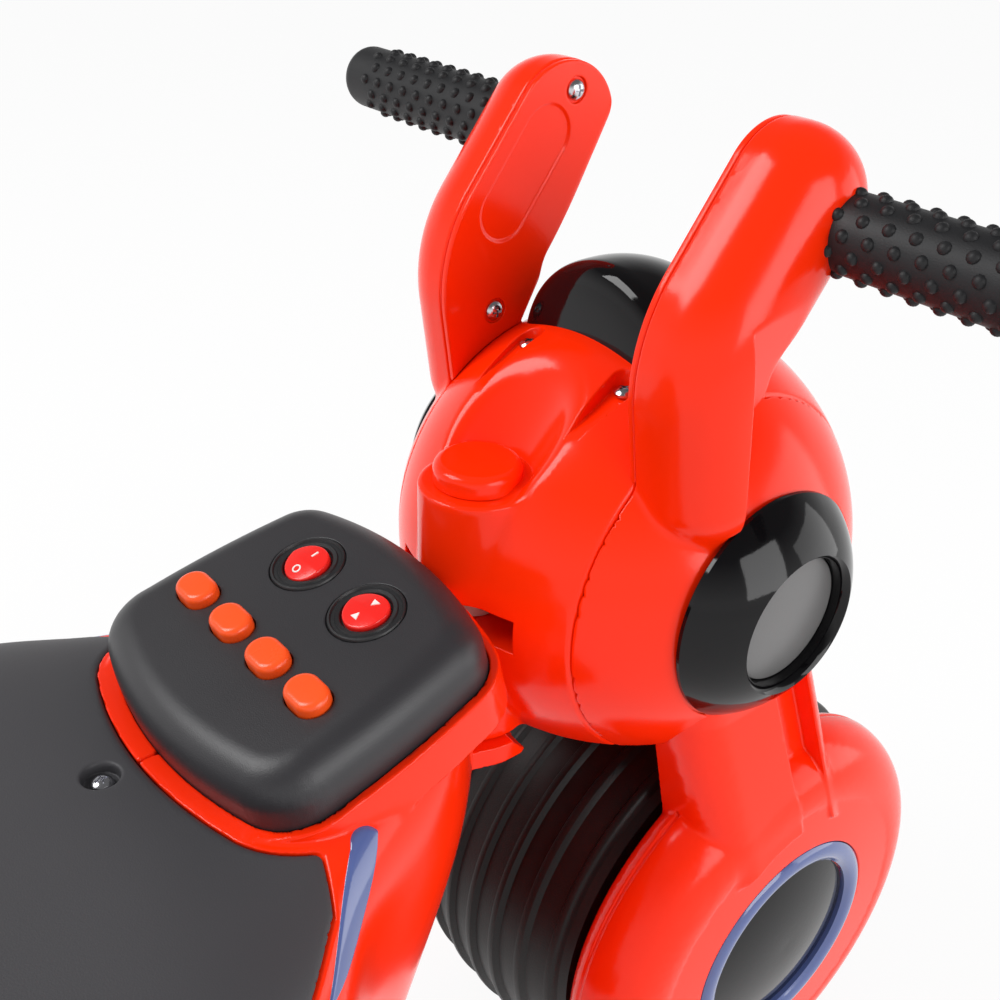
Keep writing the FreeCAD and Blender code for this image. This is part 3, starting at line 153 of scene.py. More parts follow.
def coat(piece, material, body):
    """Gives a new piece its one material and the body that it rides on."""
    piece.data.materials.clear()
    piece.data.materials.append(material)
    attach(piece, body)


def recoat(material, *names):
    """Gives CAD nodes that are right as they are a better material."""
    for name in names:
        data = nodes[name].data
        data.materials.clear()
        data.materials.append(material)


def middle_of(node):
    low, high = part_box(node)
    return (low + high) / 2


def tread(radius, half_width, crown, ribs, depth, rim_radius):
    """A tyre's section, from bead to bead, as (radius, along the axle)."""
    points = [(rim_radius, -half_width), (radius - crown - 3 * depth, -half_width)]
    steps_per_rib = 20
    samples = steps_per_rib * ribs
    for step in range(1, samples):
        along = -half_width + 2 * half_width * step / samples
        place_in_rib = (step % steps_per_rib) / steps_per_rib
        rise = min(1.0, max(0.0, (0.2 - abs(place_in_rib - 0.5)) / 0.12))
        rise = rise * rise * (3 - 2 * rise)
        drop = crown * abs(along / half_width) ** 2.5
        points.append((radius - drop - depth * (1 - rise), along))
    points.append((radius - crown - 3 * depth, half_width))
    points.append((rim_radius, half_width))
    return points + points[:1]


tyre_rubber = finish("tyre_rubber", paint(20, 16, 16), 0.4, 1500.0, 0.0001, 0.25, 0.15, 0.25)
front_axle = middle_of("front_tyre")
front_tread = tread(radius=0.097, half_width=0.05, crown=0.009, ribs=7, depth=0.0024, rim_radius=0.064)
tyre = lathe("front_tyre_ribbed", front_axle, "Y", front_tread)
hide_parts("front_tyre")
coat(tyre, tyre_rubber, "front_wheel")


# Front rim and axle: a spool-shaped rim of black plastic turns on a plain steel rod, whose nuts sit
# in the bosses of the forks. Both are hidden between the wheel covers.
black_nylon = finish("black_nylon", paint(30, 30, 32), 0.42, 700.0, 0.0001)
bright_steel = finish("bright_steel", paint(190, 190, 192), 0.25, 2500.0, 0.00004, 0.1, 0.15)
bright_steel.node_tree.nodes["Principled BSDF"].inputs["Metallic"].default_value = 1.0
recoat(black_nylon, "front_rim")
recoat(bright_steel, "front_axle")


# Forks: one glossy red moulding on each side, a raked leg with a groove down its outer face that
# runs into a round domed wheel cover. Each is screwed up into its cheek and carries the axle.
def blended(one, other, radius):
    """Joins two forms, given as distances in millimetres, with a fillet of about the radius."""
    share = np.clip(0.5 + 0.5 * (other - one) / radius, 0.0, 1.0)
    return other + (one - other) * share - radius * share * (1.0 - share)


def trimmed(one, other, radius):
    """Keeps what lies inside both forms, with the edge between them rounded over."""
    return -blended(-one, -other, radius)


def bowed(start, middle, end, count=12):
    """The points after the start of the arc through three places."""
    (ax, ay), (bx, by), (cx, cy) = start, middle, end
    twist = 2 * (ax * (by - cy) + bx * (cy - ay) + cx * (ay - by))
    squares = (ax * ax + ay * ay, bx * bx + by * by, cx * cx + cy * cy)
    u = (squares[0] * (by - cy) + squares[1] * (cy - ay) + squares[2] * (ay - by)) / twist
    v = (squares[0] * (cx - bx) + squares[1] * (ax - cx) + squares[2] * (bx - ax)) / twist
    first = math.atan2(ay - v, ax - u)
    sweep = (math.atan2(cy - v, cx - u) - first) % (2 * math.pi)
    if (math.atan2(by - v, bx - u) - first) % (2 * math.pi) > sweep:
        sweep -= 2 * math.pi
    radius = math.hypot(ax - u, ay - v)
    turns = [first + sweep * step / count for step in range(1, count + 1)]
    return [(u + radius * math.cos(turn), v + radius * math.sin(turn)) for turn in turns]


def outline_distance(u, v, corners):
    """Distance from a closed outline, negative inside it."""
    nearest = np.full(u.shape, np.inf)
    inside = np.zeros(u.shape, bool)
    for (u0, v0), (u1, v1) in zip(corners, corners[1:] + corners[:1]):
        run, rise = u1 - u0, v1 - v0
        share = np.clip(((u - u0) * run + (v - v0) * rise) / (run * run + rise * rise), 0, 1)
        nearest = np.minimum(nearest, (u - u0 - run * share) ** 2 + (v - v0 - rise * share) ** 2)
        if rise:
            inside ^= ((v0 > v) != (v1 > v)) & (u < u0 + run * (v - v0) / rise)
    return np.where(inside, -1, 1) * np.sqrt(nearest)


def settled(form, spots, furthest, rounds):
    """Moves points on to the skin of a form, and gives the way outwards at each of them."""
    reach = 0.03
    for settling in range(rounds):
        slope = np.stack([form(*(spots + reach * way).T) - form(*(spots - reach * way).T)
                          for way in np.eye(3)], axis=1) / (2 * reach)
        steepness = np.maximum((slope ** 2).sum(axis=1), 0.05)
        move = slope * (form(*spots.T) / steepness)[:, None]
        length = np.maximum(np.sqrt((move ** 2).sum(axis=1)), 1e-9)
        spots = spots - move * np.minimum(1.0, furthest / length)[:, None]
    return spots, slope / np.sqrt((slope ** 2).sum(axis=1))[:, None]


def moulding(name, form, low, high, cell, splits=3):
    """A moulding from its form in millimetres: an even mesh, split finer along the form's edges."""
    corner = np.array(low, float) - 2 * cell
    counts = np.ceil((np.array(high) + 2 * cell - corner) / cell).astype(int) + 1
    ticks = [corner[axis] + cell * np.arange(counts[axis]) for axis in range(3)]
    volume = openvdb.FloatGrid(1.0)
    volume.copyFromArray(form(*np.meshgrid(*ticks, indexing="ij")).astype(np.float32))
    points, faces = volume.convertToQuads()
    spots, outward = settled(form, corner + cell * np.array(points, float), 0.7 * cell, 5)
    mesh = bpy.data.meshes.new(name)
    mesh.from_pydata(spots.tolist(), [], np.array(faces).tolist())
    for finer in range(splits):
        ends = np.empty(2 * len(mesh.edges), np.int32)
        mesh.edges.foreach_get("vertices", ends)
        turned = (outward[ends[0::2]] * outward[ends[1::2]]).sum(axis=1) < 0.965
        grid = bmesh.new()
        grid.from_mesh(mesh)
        grid.edges.ensure_lookup_table()
        for index in np.flatnonzero(turned):
            for face in grid.edges[index].link_faces:
                for edge in face.edges:
                    edge.tag = True
        split = [edge for edge in grid.edges if edge.tag]
        bmesh.ops.subdivide_edges(grid, edges=split, cuts=1, use_grid_fill=True)
        grid.to_mesh(mesh)
        grid.free()
        flat = np.empty(3 * len(mesh.vertices), np.float32)
        mesh.vertices.foreach_get("co", flat)
        spots, outward = settled(form, flat.reshape(-1, 3).astype(float), 0.35 * cell / (1 + finer), 3)
    mesh.vertices.foreach_set("co", (spots / 1000).astype(np.float32).ravel())
    mesh.update()
    face = mesh.polygons[0]
    if face.normal.dot(Vector(outward[face.vertices[0]])) < 0:
        mesh.flip_normals()
    mesh.shade_smooth()
    mesh.normals_split_custom_set_from_vertices(outward.tolist())
    piece = bpy.data.objects.new(name, mesh)
    bpy.context.scene.collection.objects.link(piece)
    return piece


def other_side(piece, name):
    """The same moulding for the other side of the toy, across its centre plane."""
    twin = piece.copy()
    twin.data = piece.data.copy()
    twin.name = name
    bpy.context.scene.collection.objects.link(twin)
    normals = [corner.vector for corner in twin.data.corner_normals]
    loops = [loop.vertex_index for loop in twin.data.loops]
    outward = [None] * len(twin.data.vertices)
    for vertex, normal in zip(loops, normals):
        outward[vertex] = (normal[0], -normal[1], normal[2])
    twin.data.transform(Matrix.Scale(-1, 4, (0, 1, 0)))
    twin.data.flip_normals()
    twin.data.normals_split_custom_set_from_vertices(outward)
    return twin


red_plastic = finish("red_plastic", paint(252, 44, 3), 0.17, 420.0, 0.00003, 0.05, 0.06, 0.28)
axle_x, axle_z = 228.0, 97.0
cover_section = [(0.0, 53.0), (86.0, 53.0), *bowed((86.0, 53.0), (90.8, 56.6), (93.0, 62.5)),
                 *bowed((93.0, 62.5), (87.6, 77.5), (68.0, 85.2), 24), (48.5, 86.0), (0.0, 86.0)]
leg_section = [(-34.0, 40.0), (-34.0, 59.0), *bowed((-34.0, 59.0), (-29.3, 70.3), (-18.0, 75.0)),
               (20.0, 75.0), *bowed((20.0, 75.0), (30.5, 72.0), (34.0, 64.0)), (34.0, 40.0)]


leg_top_x, leg_top_z, leg_rake, leg_lean = 201.0, 236.0, 0.23, 0.18
leg_foot_z, leg_end_radius = 150.0, 62.0
groove_middle, groove_half_width, groove_floor = 16.5, 8.5, 66.0
lip_radius, lip_y, lip_line_radius = 93.2, 61.8, 0.9
hub_seat_radius, hub_seat_floor, fork_inner_y = 48.6, 83.0, 53.0


def fork_form(x, y, z):
    drop = leg_top_z - z
    ahead = x - leg_top_x - leg_rake * drop
    out = y - leg_lean * np.maximum(drop - 10.0, 0.0)
    from_axle = np.hypot(x - axle_x, z - axle_z)
    groove = trimmed(np.abs(ahead - groove_middle) - groove_half_width, groove_floor - out, 1.5)
    leg_ends = np.maximum(np.maximum(-drop, leg_foot_z - z), leg_end_radius - from_axle)
    leg = trimmed(outline_distance(ahead, out, leg_section), -groove, 1.2)
    leg = trimmed(leg, leg_ends, 1.5)
    form = blended(leg, outline_distance(from_axle, y, cover_section), 1.6)
    lip_line = np.hypot(from_axle - lip_radius, y - lip_y) - lip_line_radius
    form = trimmed(form, -lip_line, 0.5)
    hub_seat = np.maximum(from_axle - hub_seat_radius, hub_seat_floor - y)
    return trimmed(trimmed(form, -hub_seat, 0.8), fork_inner_y - y, 0.6)


fork_left = moulding("fork_left_moulded", fork_form, (134, 53, 2), (322, 90, 237), 1.9, 2)
fork_right = other_side(fork_left, "fork_right_moulded")
for fork, node in ((fork_left, "fork_left"), (fork_right, "fork_right")):
    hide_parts(node)
    coat(fork, red_plastic, "front_unit")


# Hub rings and domes: a smoky blue light ring is pressed into the face of each wheel cover, round a
# glossy black convex dome that hides the axle nut.
blue_light = finish("blue_light", paint(80, 96, 150), 0.14, 300.0, 0.00002, 0.25, 0.08)
blue_light.node_tree.nodes["Principled BSDF"].inputs["Coat Weight"].default_value = 0.6
black_gloss = finish("black_gloss", paint(11, 10, 12), 0.07, 300.0, 0.00002, 0.1, 0.05, 0.28)
hub = Vector((axle_x, 0, axle_z)) / 1000
ring_profile = [(0.0396, 0.083), (0.0483, 0.083), (0.0483, 0.0858),
                *bowed((0.0483, 0.0858), (0.0452, 0.0876), (0.0405, 0.0862)),
                (0.0396, 0.0855), (0.0396, 0.083)]
dome_profile = [(0.0, 0.083), (0.0388, 0.083), (0.0391, 0.0838),
                *bowed((0.0391, 0.0838), (0.02, 0.0871), (0.0, 0.088), 20)]
for side, name in ((1, "left"), (-1, "right")):
    ring = lathe("hub_ring_" + name, hub, "Y", [(radius, side * y) for radius, y in ring_profile])
    dome = lathe("hub_dome_" + name, hub, "Y", [(radius, side * y) for radius, y in dome_profile])
    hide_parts("hub_rings")
    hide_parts("hub_domes")
    coat(ring, blue_light, "front_unit")
    coat(dome, black_gloss, "front_unit")


# Head band: the middle of the round head in glossy red, with the steering boss at its back and two
# tapering pockets for its screws. The cheeks close on it at both sides.
head_x, head_z, head_radius, head_bottom, seam_y = 201.5, 266.0, 84.0, 212.0, 48.0
steer_x, boss_radius, boss_top, boss_low, column_top = 131.4, 20.0, 308.0, 266.0, 257.2
notch_radius, notch_z, notch_half_height = 31.0, 263.6, 6.4
dish_radius, dish_slope, dish_floor = 17.0, 0.5, 310.0
band_screw_x, band_screw_y, band_screw_z = 172.3, 24.0, 336.5
pocket_length, pocket_radius, pocket_taper, pocket_fall = 24.0, 5.0, 3.2, 10.0
lamp_z, lamp_radius, lamp_back = 278.0, 33.2, 238.0


def ball_form(x, y, z):
    return np.sqrt((x - head_x) ** 2 + y ** 2 + (z - head_z) ** 2) - head_radius


def band_form(x, y, z):
    from_pin = np.hypot(x - steer_x, y)
    boss = trimmed(from_pin - boss_radius, np.maximum(z - boss_top, boss_low - z), 1.6)
    column = trimmed(from_pin - boss_radius, z - column_top, 1.0)
    form = blended(blended(ball_form(x, y, z), boss, 3.0), column, 3.0)
    notch = np.maximum(from_pin - notch_radius, np.abs(z - notch_z) - notch_half_height)
    form = trimmed(form, -notch, 0.8)
    dish = np.maximum(from_pin - dish_radius - dish_slope * (z - boss_top), dish_floor - z)
    form = trimmed(form, -dish, 5.0)
    back = np.clip((band_screw_x - x) / pocket_length, 0.0, 1.0)
    across = np.hypot(x - band_screw_x + pocket_length * back, np.abs(y) - band_screw_y)
    pocket = across - pocket_radius + pocket_taper * back
    form = trimmed(form, -np.maximum(pocket, band_screw_z - pocket_fall * back - z), 0.8)
    lamp_seat = np.maximum(np.hypot(y, z - lamp_z) - lamp_radius, lamp_back - x)
    form = trimmed(form, -lamp_seat, 0.8)
    return trimmed(form, np.maximum(np.abs(y) - seam_y + 0.2, head_bottom - z), 1.3)


band = moulding("head_band_moulded", band_form, (111, -48, 212), (286, 48, 351), 1.9)
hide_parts("head_band")
coat(band, red_plastic, "front_unit")


# Visor: a glossy black hood let into the top of the band, steep towards the rider and drawn out
# towards the front. It is pushed in from inside before the head is closed.
visor_axis = Vector((192.0, 0, 331.0)) / 1000
arc = [math.radians(90 * step / 24) for step in range(25)]
hood_radius, hood_back, hood_front, squareness = 0.040, 0.014, 0.046, 0.45
hood = [(hood_radius * math.sin(turn) ** squareness, -hood_back * max(math.cos(turn), 0.0) ** squareness)
        for turn in arc]
hood += [(hood_radius * math.cos(turn), hood_front * math.sin(turn)) for turn in arc[1:]]
visor = lathe("visor_hood", visor_axis, "X", hood)
bpy.ops.object.mode_set(mode="EDIT")
bpy.ops.mesh.select_all(action="SELECT")
bpy.ops.mesh.bisect(plane_co=(0, 0, 0.3245), plane_no=(0, 0, 1), use_fill=True, clear_inner=True)
bpy.ops.object.mode_set(mode="OBJECT")
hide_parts("visor")
coat(visor, black_gloss, "front_unit")


# Headlamp: a clear lens flush with the front of the band over a bright cone reflector.
clear_lens = finish("clear_lens", paint(245, 247, 250), 0.06, 250.0, 0.00002, 0.02, 0.02)
clear_lens.node_tree.nodes["Principled BSDF"].inputs["Transmission Weight"].default_value = 1.0
mirror = finish("mirror_coat", paint(225, 226, 230), 0.14, 500.0, 0.00002, 0.04, 0.05)
mirror.node_tree.nodes["Principled BSDF"].inputs["Metallic"].default_value = 1.0
recoat(clear_lens, "headlamp_lens")
recoat(mirror, "headlamp_reflector")


# Cheeks: the sides of the head in the same red, each moulded in one with its ear-shaped arm. The arm
# is stepped back at the front of its foot, above the eye, and the grip stub is plugged into its end.
foot, elbow, tip = np.array((179.0, 316.0)), np.array((172.0, 362.0)), np.array((204.0, 404.0))
ear_radius, bend_radius, ear_flat_y = 22.5, 34.0, 54.0
step_x, step_y, step_low = 177.5, 60.5, 306.0
eye_x, eye_z, eye_seat_radius, eye_seat_y = 198.0, 270.0, 42.6, 72.2
down = (foot - elbow) / np.linalg.norm(foot - elbow)
up = (tip - elbow) / np.linalg.norm(tip - elbow)
half_turn = math.acos(down @ up) / 2
bend_low = elbow + down * bend_radius / math.tan(half_turn)
bend_high = elbow + up * bend_radius / math.tan(half_turn)
bend_centre = elbow + (down + up) / np.linalg.norm(down + up) * bend_radius / math.sin(half_turn)


def run_distance(u, v, start, end):
    run, rise = end - start
    share = np.clip(((u - start[0]) * run + (v - start[1]) * rise) / (run * run + rise * rise), 0, 1)
    return np.hypot(u - start[0] - run * share, v - start[1] - rise * share)


def arm_distance(x, z):
    """Distance in side view from the middle line of the arm, a bend between two straight runs."""
    straight = np.minimum(run_distance(x, z, foot, bend_low), run_distance(x, z, bend_high, tip))
    past_low = (x - bend_low[0]) * down[0] + (z - bend_low[1]) * down[1] < 0
    past_high = (x - bend_high[0]) * up[0] + (z - bend_high[1]) * up[1] < 0
    bend = np.abs(np.hypot(x - bend_centre[0], z - bend_centre[1]) - bend_radius)
    return np.where(past_low & past_high, np.minimum(bend, straight), straight)


def ear_front(z):
    """The front edge of the ear near its foot, where it draws back beside the visor."""
    return 200.4 - 0.54 * (355.4 - z)


def cheek_form(x, y, z):
    arm = np.hypot(arm_distance(x, z), np.maximum(y - ear_flat_y, 0.0)) - ear_radius
    arm = trimmed(arm, x - ear_front(z) - np.maximum(y - 58.0, 0.0), 6.0)
    step_floor = step_y + 0.4 * np.maximum(z - 340.0, 0.0)
    step = trimmed(step_x - x - 0.1 * (z - 309.0), step_floor - y, 1.0)
    arm = trimmed(arm, -np.maximum(step, step_low - z), 0.8)
    form = blended(ball_form(x, y, z), arm, 2.5)
    eye_seat = np.maximum(np.hypot(x - eye_x, z - eye_z) - eye_seat_radius, eye_seat_y - y)
    form = trimmed(form, -eye_seat, 0.6)
    return trimmed(form, np.maximum(seam_y - y, head_bottom - z), 1.3)


cheek_left = moulding("cheek_left_moulded", cheek_form, (117, 48, 212), (286, 78, 428), 1.8)
cheek_right = other_side(cheek_left, "cheek_right_moulded")
for cheek, node in ((cheek_left, "cheek_left"), (cheek_right, "cheek_right")):
    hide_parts(node)
    coat(cheek, red_plastic, "front_unit")


# Ear covers: flat red plates that close the open inner side of each arm, with a sunk field in
# their upper half. Two screws hold each one to posts inside the arm.
ear_screw_places = ((207.9, 415.9), (174.1, 342.3))
field_low, field_high = np.array((177.0, 378.0)), np.array((195.2, 402.4))
cover_face, cover_back, cover_seat, field_radius, field_depth = 45.5, 47.95, 46.6, 11.0, 0.7


def ear_cover_form(x, y, z):
    in_field = np.clip((field_radius - run_distance(x, z, field_low, field_high)) / 1.6, 0.0, 1.0)
    face = cover_face + field_depth * in_field * in_field * (3 - 2 * in_field)
    plate = trimmed(arm_distance(x, z) - ear_radius + 0.25, np.maximum(face - y, y - cover_back), 0.8)
    plate = trimmed(plate, x - ear_front(z), 6.0)
    for screw_x, screw_z in ear_screw_places:
        recess = np.maximum(np.hypot(x - screw_x, z - screw_z) - 4.6, y - cover_seat)
        plate = trimmed(plate, -recess, 0.5)
    return trimmed(plate, 0.2 - ball_form(x, y, z), 0.4)


cover_left = moulding("ear_cover_left_moulded", ear_cover_form, (148, 45, 300), (228, 48, 428), 1.0)
cover_right = other_side(cover_left, "ear_cover_right_moulded")
for cover, node in ((cover_left, "ear_cover_left"), (cover_right, "ear_cover_right")):
    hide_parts(node)
    coat(cover, red_plastic, "front_unit")


# Screws of the head: chromed pan heads with a cross recess. Two stand in the pockets of the band,
# and two hold each ear cover.
def pan_head(name):
    """A screw head at the origin that faces up, with its cross cut in."""
    curve = bowed((0.0036, 0.0009), (0.0024, 0.0021), (0.0, 0.0025), 8)
    head = lathe(name, (0, 0, 0), "Z", [(0.0, 0.0), (0.0034, 0.0), (0.0036, 0.0009), *curve], 32)
    for turn in (0, 90):
        bpy.ops.mesh.primitive_cube_add(size=1, location=(0, 0, 0.0026),
                                        rotation=(0, 0, math.radians(turn)))
        blade = bpy.context.object
        blade.scale = (0.0040, 0.0009, 0.0026)
        cross = head.modifiers.new("cross", "BOOLEAN")
        cross.object = blade
        bpy.context.view_layer.objects.active = head
        bpy.ops.object.modifier_apply(modifier="cross")
        bpy.data.objects.remove(blade)
    return head


def set_screw(pattern, name, node, body, place, facing):
    """A copy of the screw head, turned to face outwards and set on its seat."""
    screw = pattern.copy()
    screw.data = pattern.data.copy()
    screw.name = name
    bpy.context.scene.collection.objects.link(screw)
    turn = Vector((0, 0, 1)).rotation_difference(Vector(facing)).to_matrix().to_4x4()
    screw.data.transform(Matrix.Translation(Vector(place) / 1000) @ turn)
    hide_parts(node)
    coat(screw, screw_chrome, body)


screw_chrome = finish("screw_chrome", paint(205, 205, 210), 0.18, 3000.0, 0.00003, 0.15, 0.2)
screw_chrome.node_tree.nodes["Principled BSDF"].inputs["Metallic"].default_value = 1.0
screw_pattern = pan_head("screw_pattern")
for side, name in ((1, "left"), (-1, "right")):
    set_screw(screw_pattern, "band_screw_" + name, "head_screws", "front_unit",
              (band_screw_x, band_screw_y * side, band_screw_z), (0, 0, 1))
    for (screw_x, screw_z), level in zip(ear_screw_places, ("upper", "lower")):
        set_screw(screw_pattern, "ear_screw_" + level + "_" + name, "head_screws", "front_unit",
                  (screw_x, cover_seat * side, screw_z), (0, -side, 0))


# Eyes: a glossy black domed ring on each cheek with a rounded lip into its recess, and a satin grey
# disc at the bottom. The ring is clipped on over the flat of the cheek.
grey_disc = finish("grey_disc", paint(104, 103, 103), 0.32, 1200.0, 0.00004, 0.12, 0.1)
eye = Vector((eye_x, 0, eye_z)) / 1000
ring_profile = [(0.0236, 0.0722), (0.0416, 0.0722), (0.0419, 0.0725), (0.0419, 0.0738),
                *bowed((0.0419, 0.0738), (0.03471, 0.08187), (0.0258, 0.088), 20),
                *bowed((0.0258, 0.088), (0.0246, 0.087), (0.0236, 0.0845), 10), (0.0236, 0.0722)]
disc_profile = [(0.0, 0.0822), (0.0222, 0.0822), (0.0230, 0.0820), (0.0234, 0.0815),
                (0.0234, 0.0792), (0.0, 0.0792)]
for side, name in ((1, "left"), (-1, "right")):
    ring = lathe("eye_ring_domed_" + name, eye, "Y", [(radius, side * y) for radius, y in ring_profile])
    disc = lathe("eye_disc_" + name, eye, "Y", [(radius, side * y) for radius, y in disc_profile])
    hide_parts("eye_ring_" + name)
    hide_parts("eye_discs")
    coat(ring, black_gloss, "front_unit")
    coat(disc, grey_disc, "front_unit")


# Handgrips: closed sleeves of black rubber, moulded with staggered rows of round studs, pushed over
# the plastic stubs that come out of the ears.
grip_rubber = finish("grip_rubber", paint(27, 27, 29), 0.5, 2200.0, 0.00008, 0.2, 0.15, 0.35)
grip_axis = Vector((207.8, 0, 397.8)) / 1000
grip_core, grip_start, grip_end = 0.0122, 0.070, 0.178
stud_radius, stud_rise, stud_pitch, stud_lines = 0.0021, 0.0018, 0.0088, 14
sleeve_profile = [(0.009, grip_start), (grip_core, grip_start), (grip_core, grip_end - 0.007),
                  *bowed((grip_core, grip_end - 0.007), (0.0102, grip_end - 0.0018), (0.005, grip_end)),
                  (0.0, grip_end)]


def stud_row(side, line):
    """One line of studs along the sleeve, every other line half a pitch further out."""
    turn = 2 * math.pi * line / stud_lines
    count = int((grip_end - grip_start - 0.012) / stud_pitch)
    bpy.ops.object.select_all(action="DESELECT")
    bpy.ops.mesh.primitive_uv_sphere_add(segments=10, ring_count=8, radius=stud_radius)
    row = bpy.context.object
    bpy.ops.object.mode_set(mode="EDIT")
    bpy.ops.mesh.bisect(plane_co=(0, 0, 0), plane_no=(0, 0, 1), clear_inner=True)
    bpy.ops.object.mode_set(mode="OBJECT")
    flatten = Matrix.Scale(stud_rise / stud_radius, 4, (0, 0, 1))
    lift = Matrix.Translation((0, 0, grip_core - 0.0003)) @ flatten
    row.data.transform(Matrix.Rotation(turn, 4, "Y") @ lift)
    along = side * (grip_start + 0.006 + stud_pitch * (0.5 if line % 2 else 0.0))
    row.data.transform(Matrix.Translation(grip_axis + Vector((0, along, 0))))
    repeat = row.modifiers.new("row", "ARRAY")
    repeat.use_relative_offset = False
    repeat.use_constant_offset = True
    repeat.constant_offset_displace = (0, side * stud_pitch, 0)
    repeat.count = count
    bpy.ops.object.modifier_apply(modifier="row")
    bpy.ops.object.shade_smooth()
    return row


for side, name in ((1, "left"), (-1, "right")):
    sleeve = [(radius, side * y) for radius, y in sleeve_profile]
    grip = lathe("grip_studded_" + name, grip_axis, "Y", sleeve, 64)
    rows = [stud_row(side, line) for line in range(stud_lines)]
    bpy.ops.object.select_all(action="DESELECT")
    for row in rows:
        row.select_set(True)
    grip.select_set(True)
    bpy.context.view_layer.objects.active = grip
    bpy.ops.object.join()
    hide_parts("grip_" + name)
    coat(grip, grip_rubber, "front_unit")
recoat(black_nylon, "grip_stubs")


# Steering: the head turns on a long steel pin through two lugs of the body, in two plain bushes. A
# low red cap with a rounded top closes the boss over the end of the pin.
bush_plastic = finish("bush_plastic", paint(222, 220, 210), 0.4, 600.0, 0.00005)
cap_profile = [(0.0, 0.308), (0.0150, 0.308), (0.0150, 0.3118),
               *bowed((0.0150, 0.3118), (0.0140, 0.3143), (0.0115, 0.3151)),
               *bowed((0.0115, 0.3151), (0.006, 0.31545), (0.0, 0.3155), 6)]
knob = lathe("steering_cap", (steer_x / 1000, 0, 0), "Z", cap_profile, 96)
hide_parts("steering_knob")
coat(knob, red_plastic, "front_unit")
recoat(bright_steel, "steering_pin")
recoat(bush_plastic, "steering_bushes")


# Body shells: two glossy red halves screwed together on the centre plane, with the steering lugs at
# the front, a raised rim round the console and a foot board low on each side.
stations = np.array((
    (108.0, 31.0, 26.0, 268.0, 240.0, 192.0), (92.0, 47.0, 38.0, 269.0, 230.0, 182.0),
    (64.0, 62.0, 50.0, 264.0, 220.0, 136.0), (32.0, 80.0, 60.0, 256.5, 214.0, 76.0),
    (12.0, 98.0, 68.0, 253.5, 210.0, 48.0), (-8.0, 109.0, 76.0, 254.0, 210.0, 37.0),
    (-38.0, 115.0, 80.0, 252.5, 207.0, 34.0), (-82.0, 117.0, 85.0, 251.0, 204.0, 34.0),
    (-138.0, 113.0, 90.0, 255.0, 208.0, 34.0), (-196.0, 107.0, 93.0, 267.0, 214.0, 34.0),
    (-246.0, 99.0, 92.0, 279.0, 220.0, 34.0), (-284.0, 87.0, 82.0, 287.0, 224.0, 35.0),
    (-312.0, 66.0, 62.0, 291.0, 228.0, 62.0)))[::-1]
station_x = stations[:, 0]
gaps = np.diff(station_x)
bends = np.diag(np.r_[1.0, 2 * (gaps[:-1] + gaps[1:]), 1.0])
for row in range(1, len(gaps)):
    bends[row, row - 1], bends[row, row + 1] = gaps[row - 1], gaps[row]
rises = np.diff(stations[:, 1:], axis=0) / gaps[:, None]
curvature = np.linalg.solve(bends, np.vstack([0 * rises[:1], 6 * np.diff(rises, axis=0), 0 * rises[:1]]))


def section_at(x):
    """Half width, foot, top, waist and bottom of the body at a place, on smooth curves."""
    x = np.clip(x, station_x[0], station_x[-1])
    place = np.clip(np.searchsorted(station_x, x) - 1, 0, len(gaps) - 1)
    gap = gaps[place]
    after = (x - station_x[place]) / gap
    before = 1 - after
    sizes = []
    for column in range(5):
        size, curve = stations[:, column + 1], curvature[:, column]
        pull = (before ** 3 - before) * curve[place] + (after ** 3 - after) * curve[place + 1]
        sizes.append(before * size[place] + after * size[place + 1] + gap ** 2 / 6 * pull)
    return sizes


def hull_form(x, y, z):
    half, foot_half, top, waist, bottom = section_at(x)
    above = np.maximum(z - waist, 0.0) / (top - waist)
    below = np.maximum(waist - z, 0.0) / (waist - bottom)
    upper = ((np.abs(y) / half) ** 3.8 + above ** 3.8) ** (1 / 3.8)
    reach = half - (half - foot_half) * np.minimum(below, 1.2) ** 2
    lower = ((np.abs(y) / reach) ** 5 + below ** 5) ** 0.2
    size = np.where(z > waist, upper, lower)
    out = np.hypot(y, z - waist) * (1 - 1 / np.maximum(size, 1e-6))
    return trimmed(out, np.maximum(x - 108.0, -312.0 - x), 5.0)


tilt = math.radians(14.0)
console_side = [*bowed((6.0, 41.04), (13.5, 52.73), (29.0, 57.0)),
                *bowed((29.0, 57.0), (55.0, 55.86), (81.0, 52.44)),
                *bowed((81.0, 52.44), (89.25, 48.51), (94.25, 40.81))]
console_front = bowed((94.25, 40.81), (100.5, 0.0), (94.25, -40.81), 24)
console_back = bowed((6.0, -41.04), (0.0, 0.0), (6.0, 41.04), 24)
console_outline = [*console_side, *console_front, *((u, -v) for u, v in console_side[-2::-1]),
                   (6.0, -41.04), *console_back]


def on_console(x, z):
    """Distance along the sloping face of the console and height above it."""
    ahead, above = x - 12.0, z - 249.5
    return (ahead * math.cos(tilt) + above * math.sin(tilt),
            above * math.cos(tilt) - ahead * math.sin(tilt))


seat_side = [(30.0, 330.0), (30.0, 251.0), (23.0, 243.5), (6.0, 239.0),
             (-52.0, 222.0), (-298.0, 222.0), (-298.0, 330.0)]
rim_middle, rim_half_width, rim_top, rim_foot, console_room = 1.8, 1.7, 2.0, -14.0, -8.0
lug_radius, lug_half_width, lug_hub_radius, pin_hole = 24.0, 20.0, 17.0, 5.2
board_x, board_half_length, board_reach, board_corner, board_z = -36.0, 66.0, 150.0, 22.0, 64.5
swept_x, swept_y = 196.4, 26.3


def seat_room(x, y, z, around):
    """The room of the seat: behind its raked front edge and clear of the console's rim."""
    return trimmed(outline_distance(x, z, seat_side), 6.5 - around, 2.0)


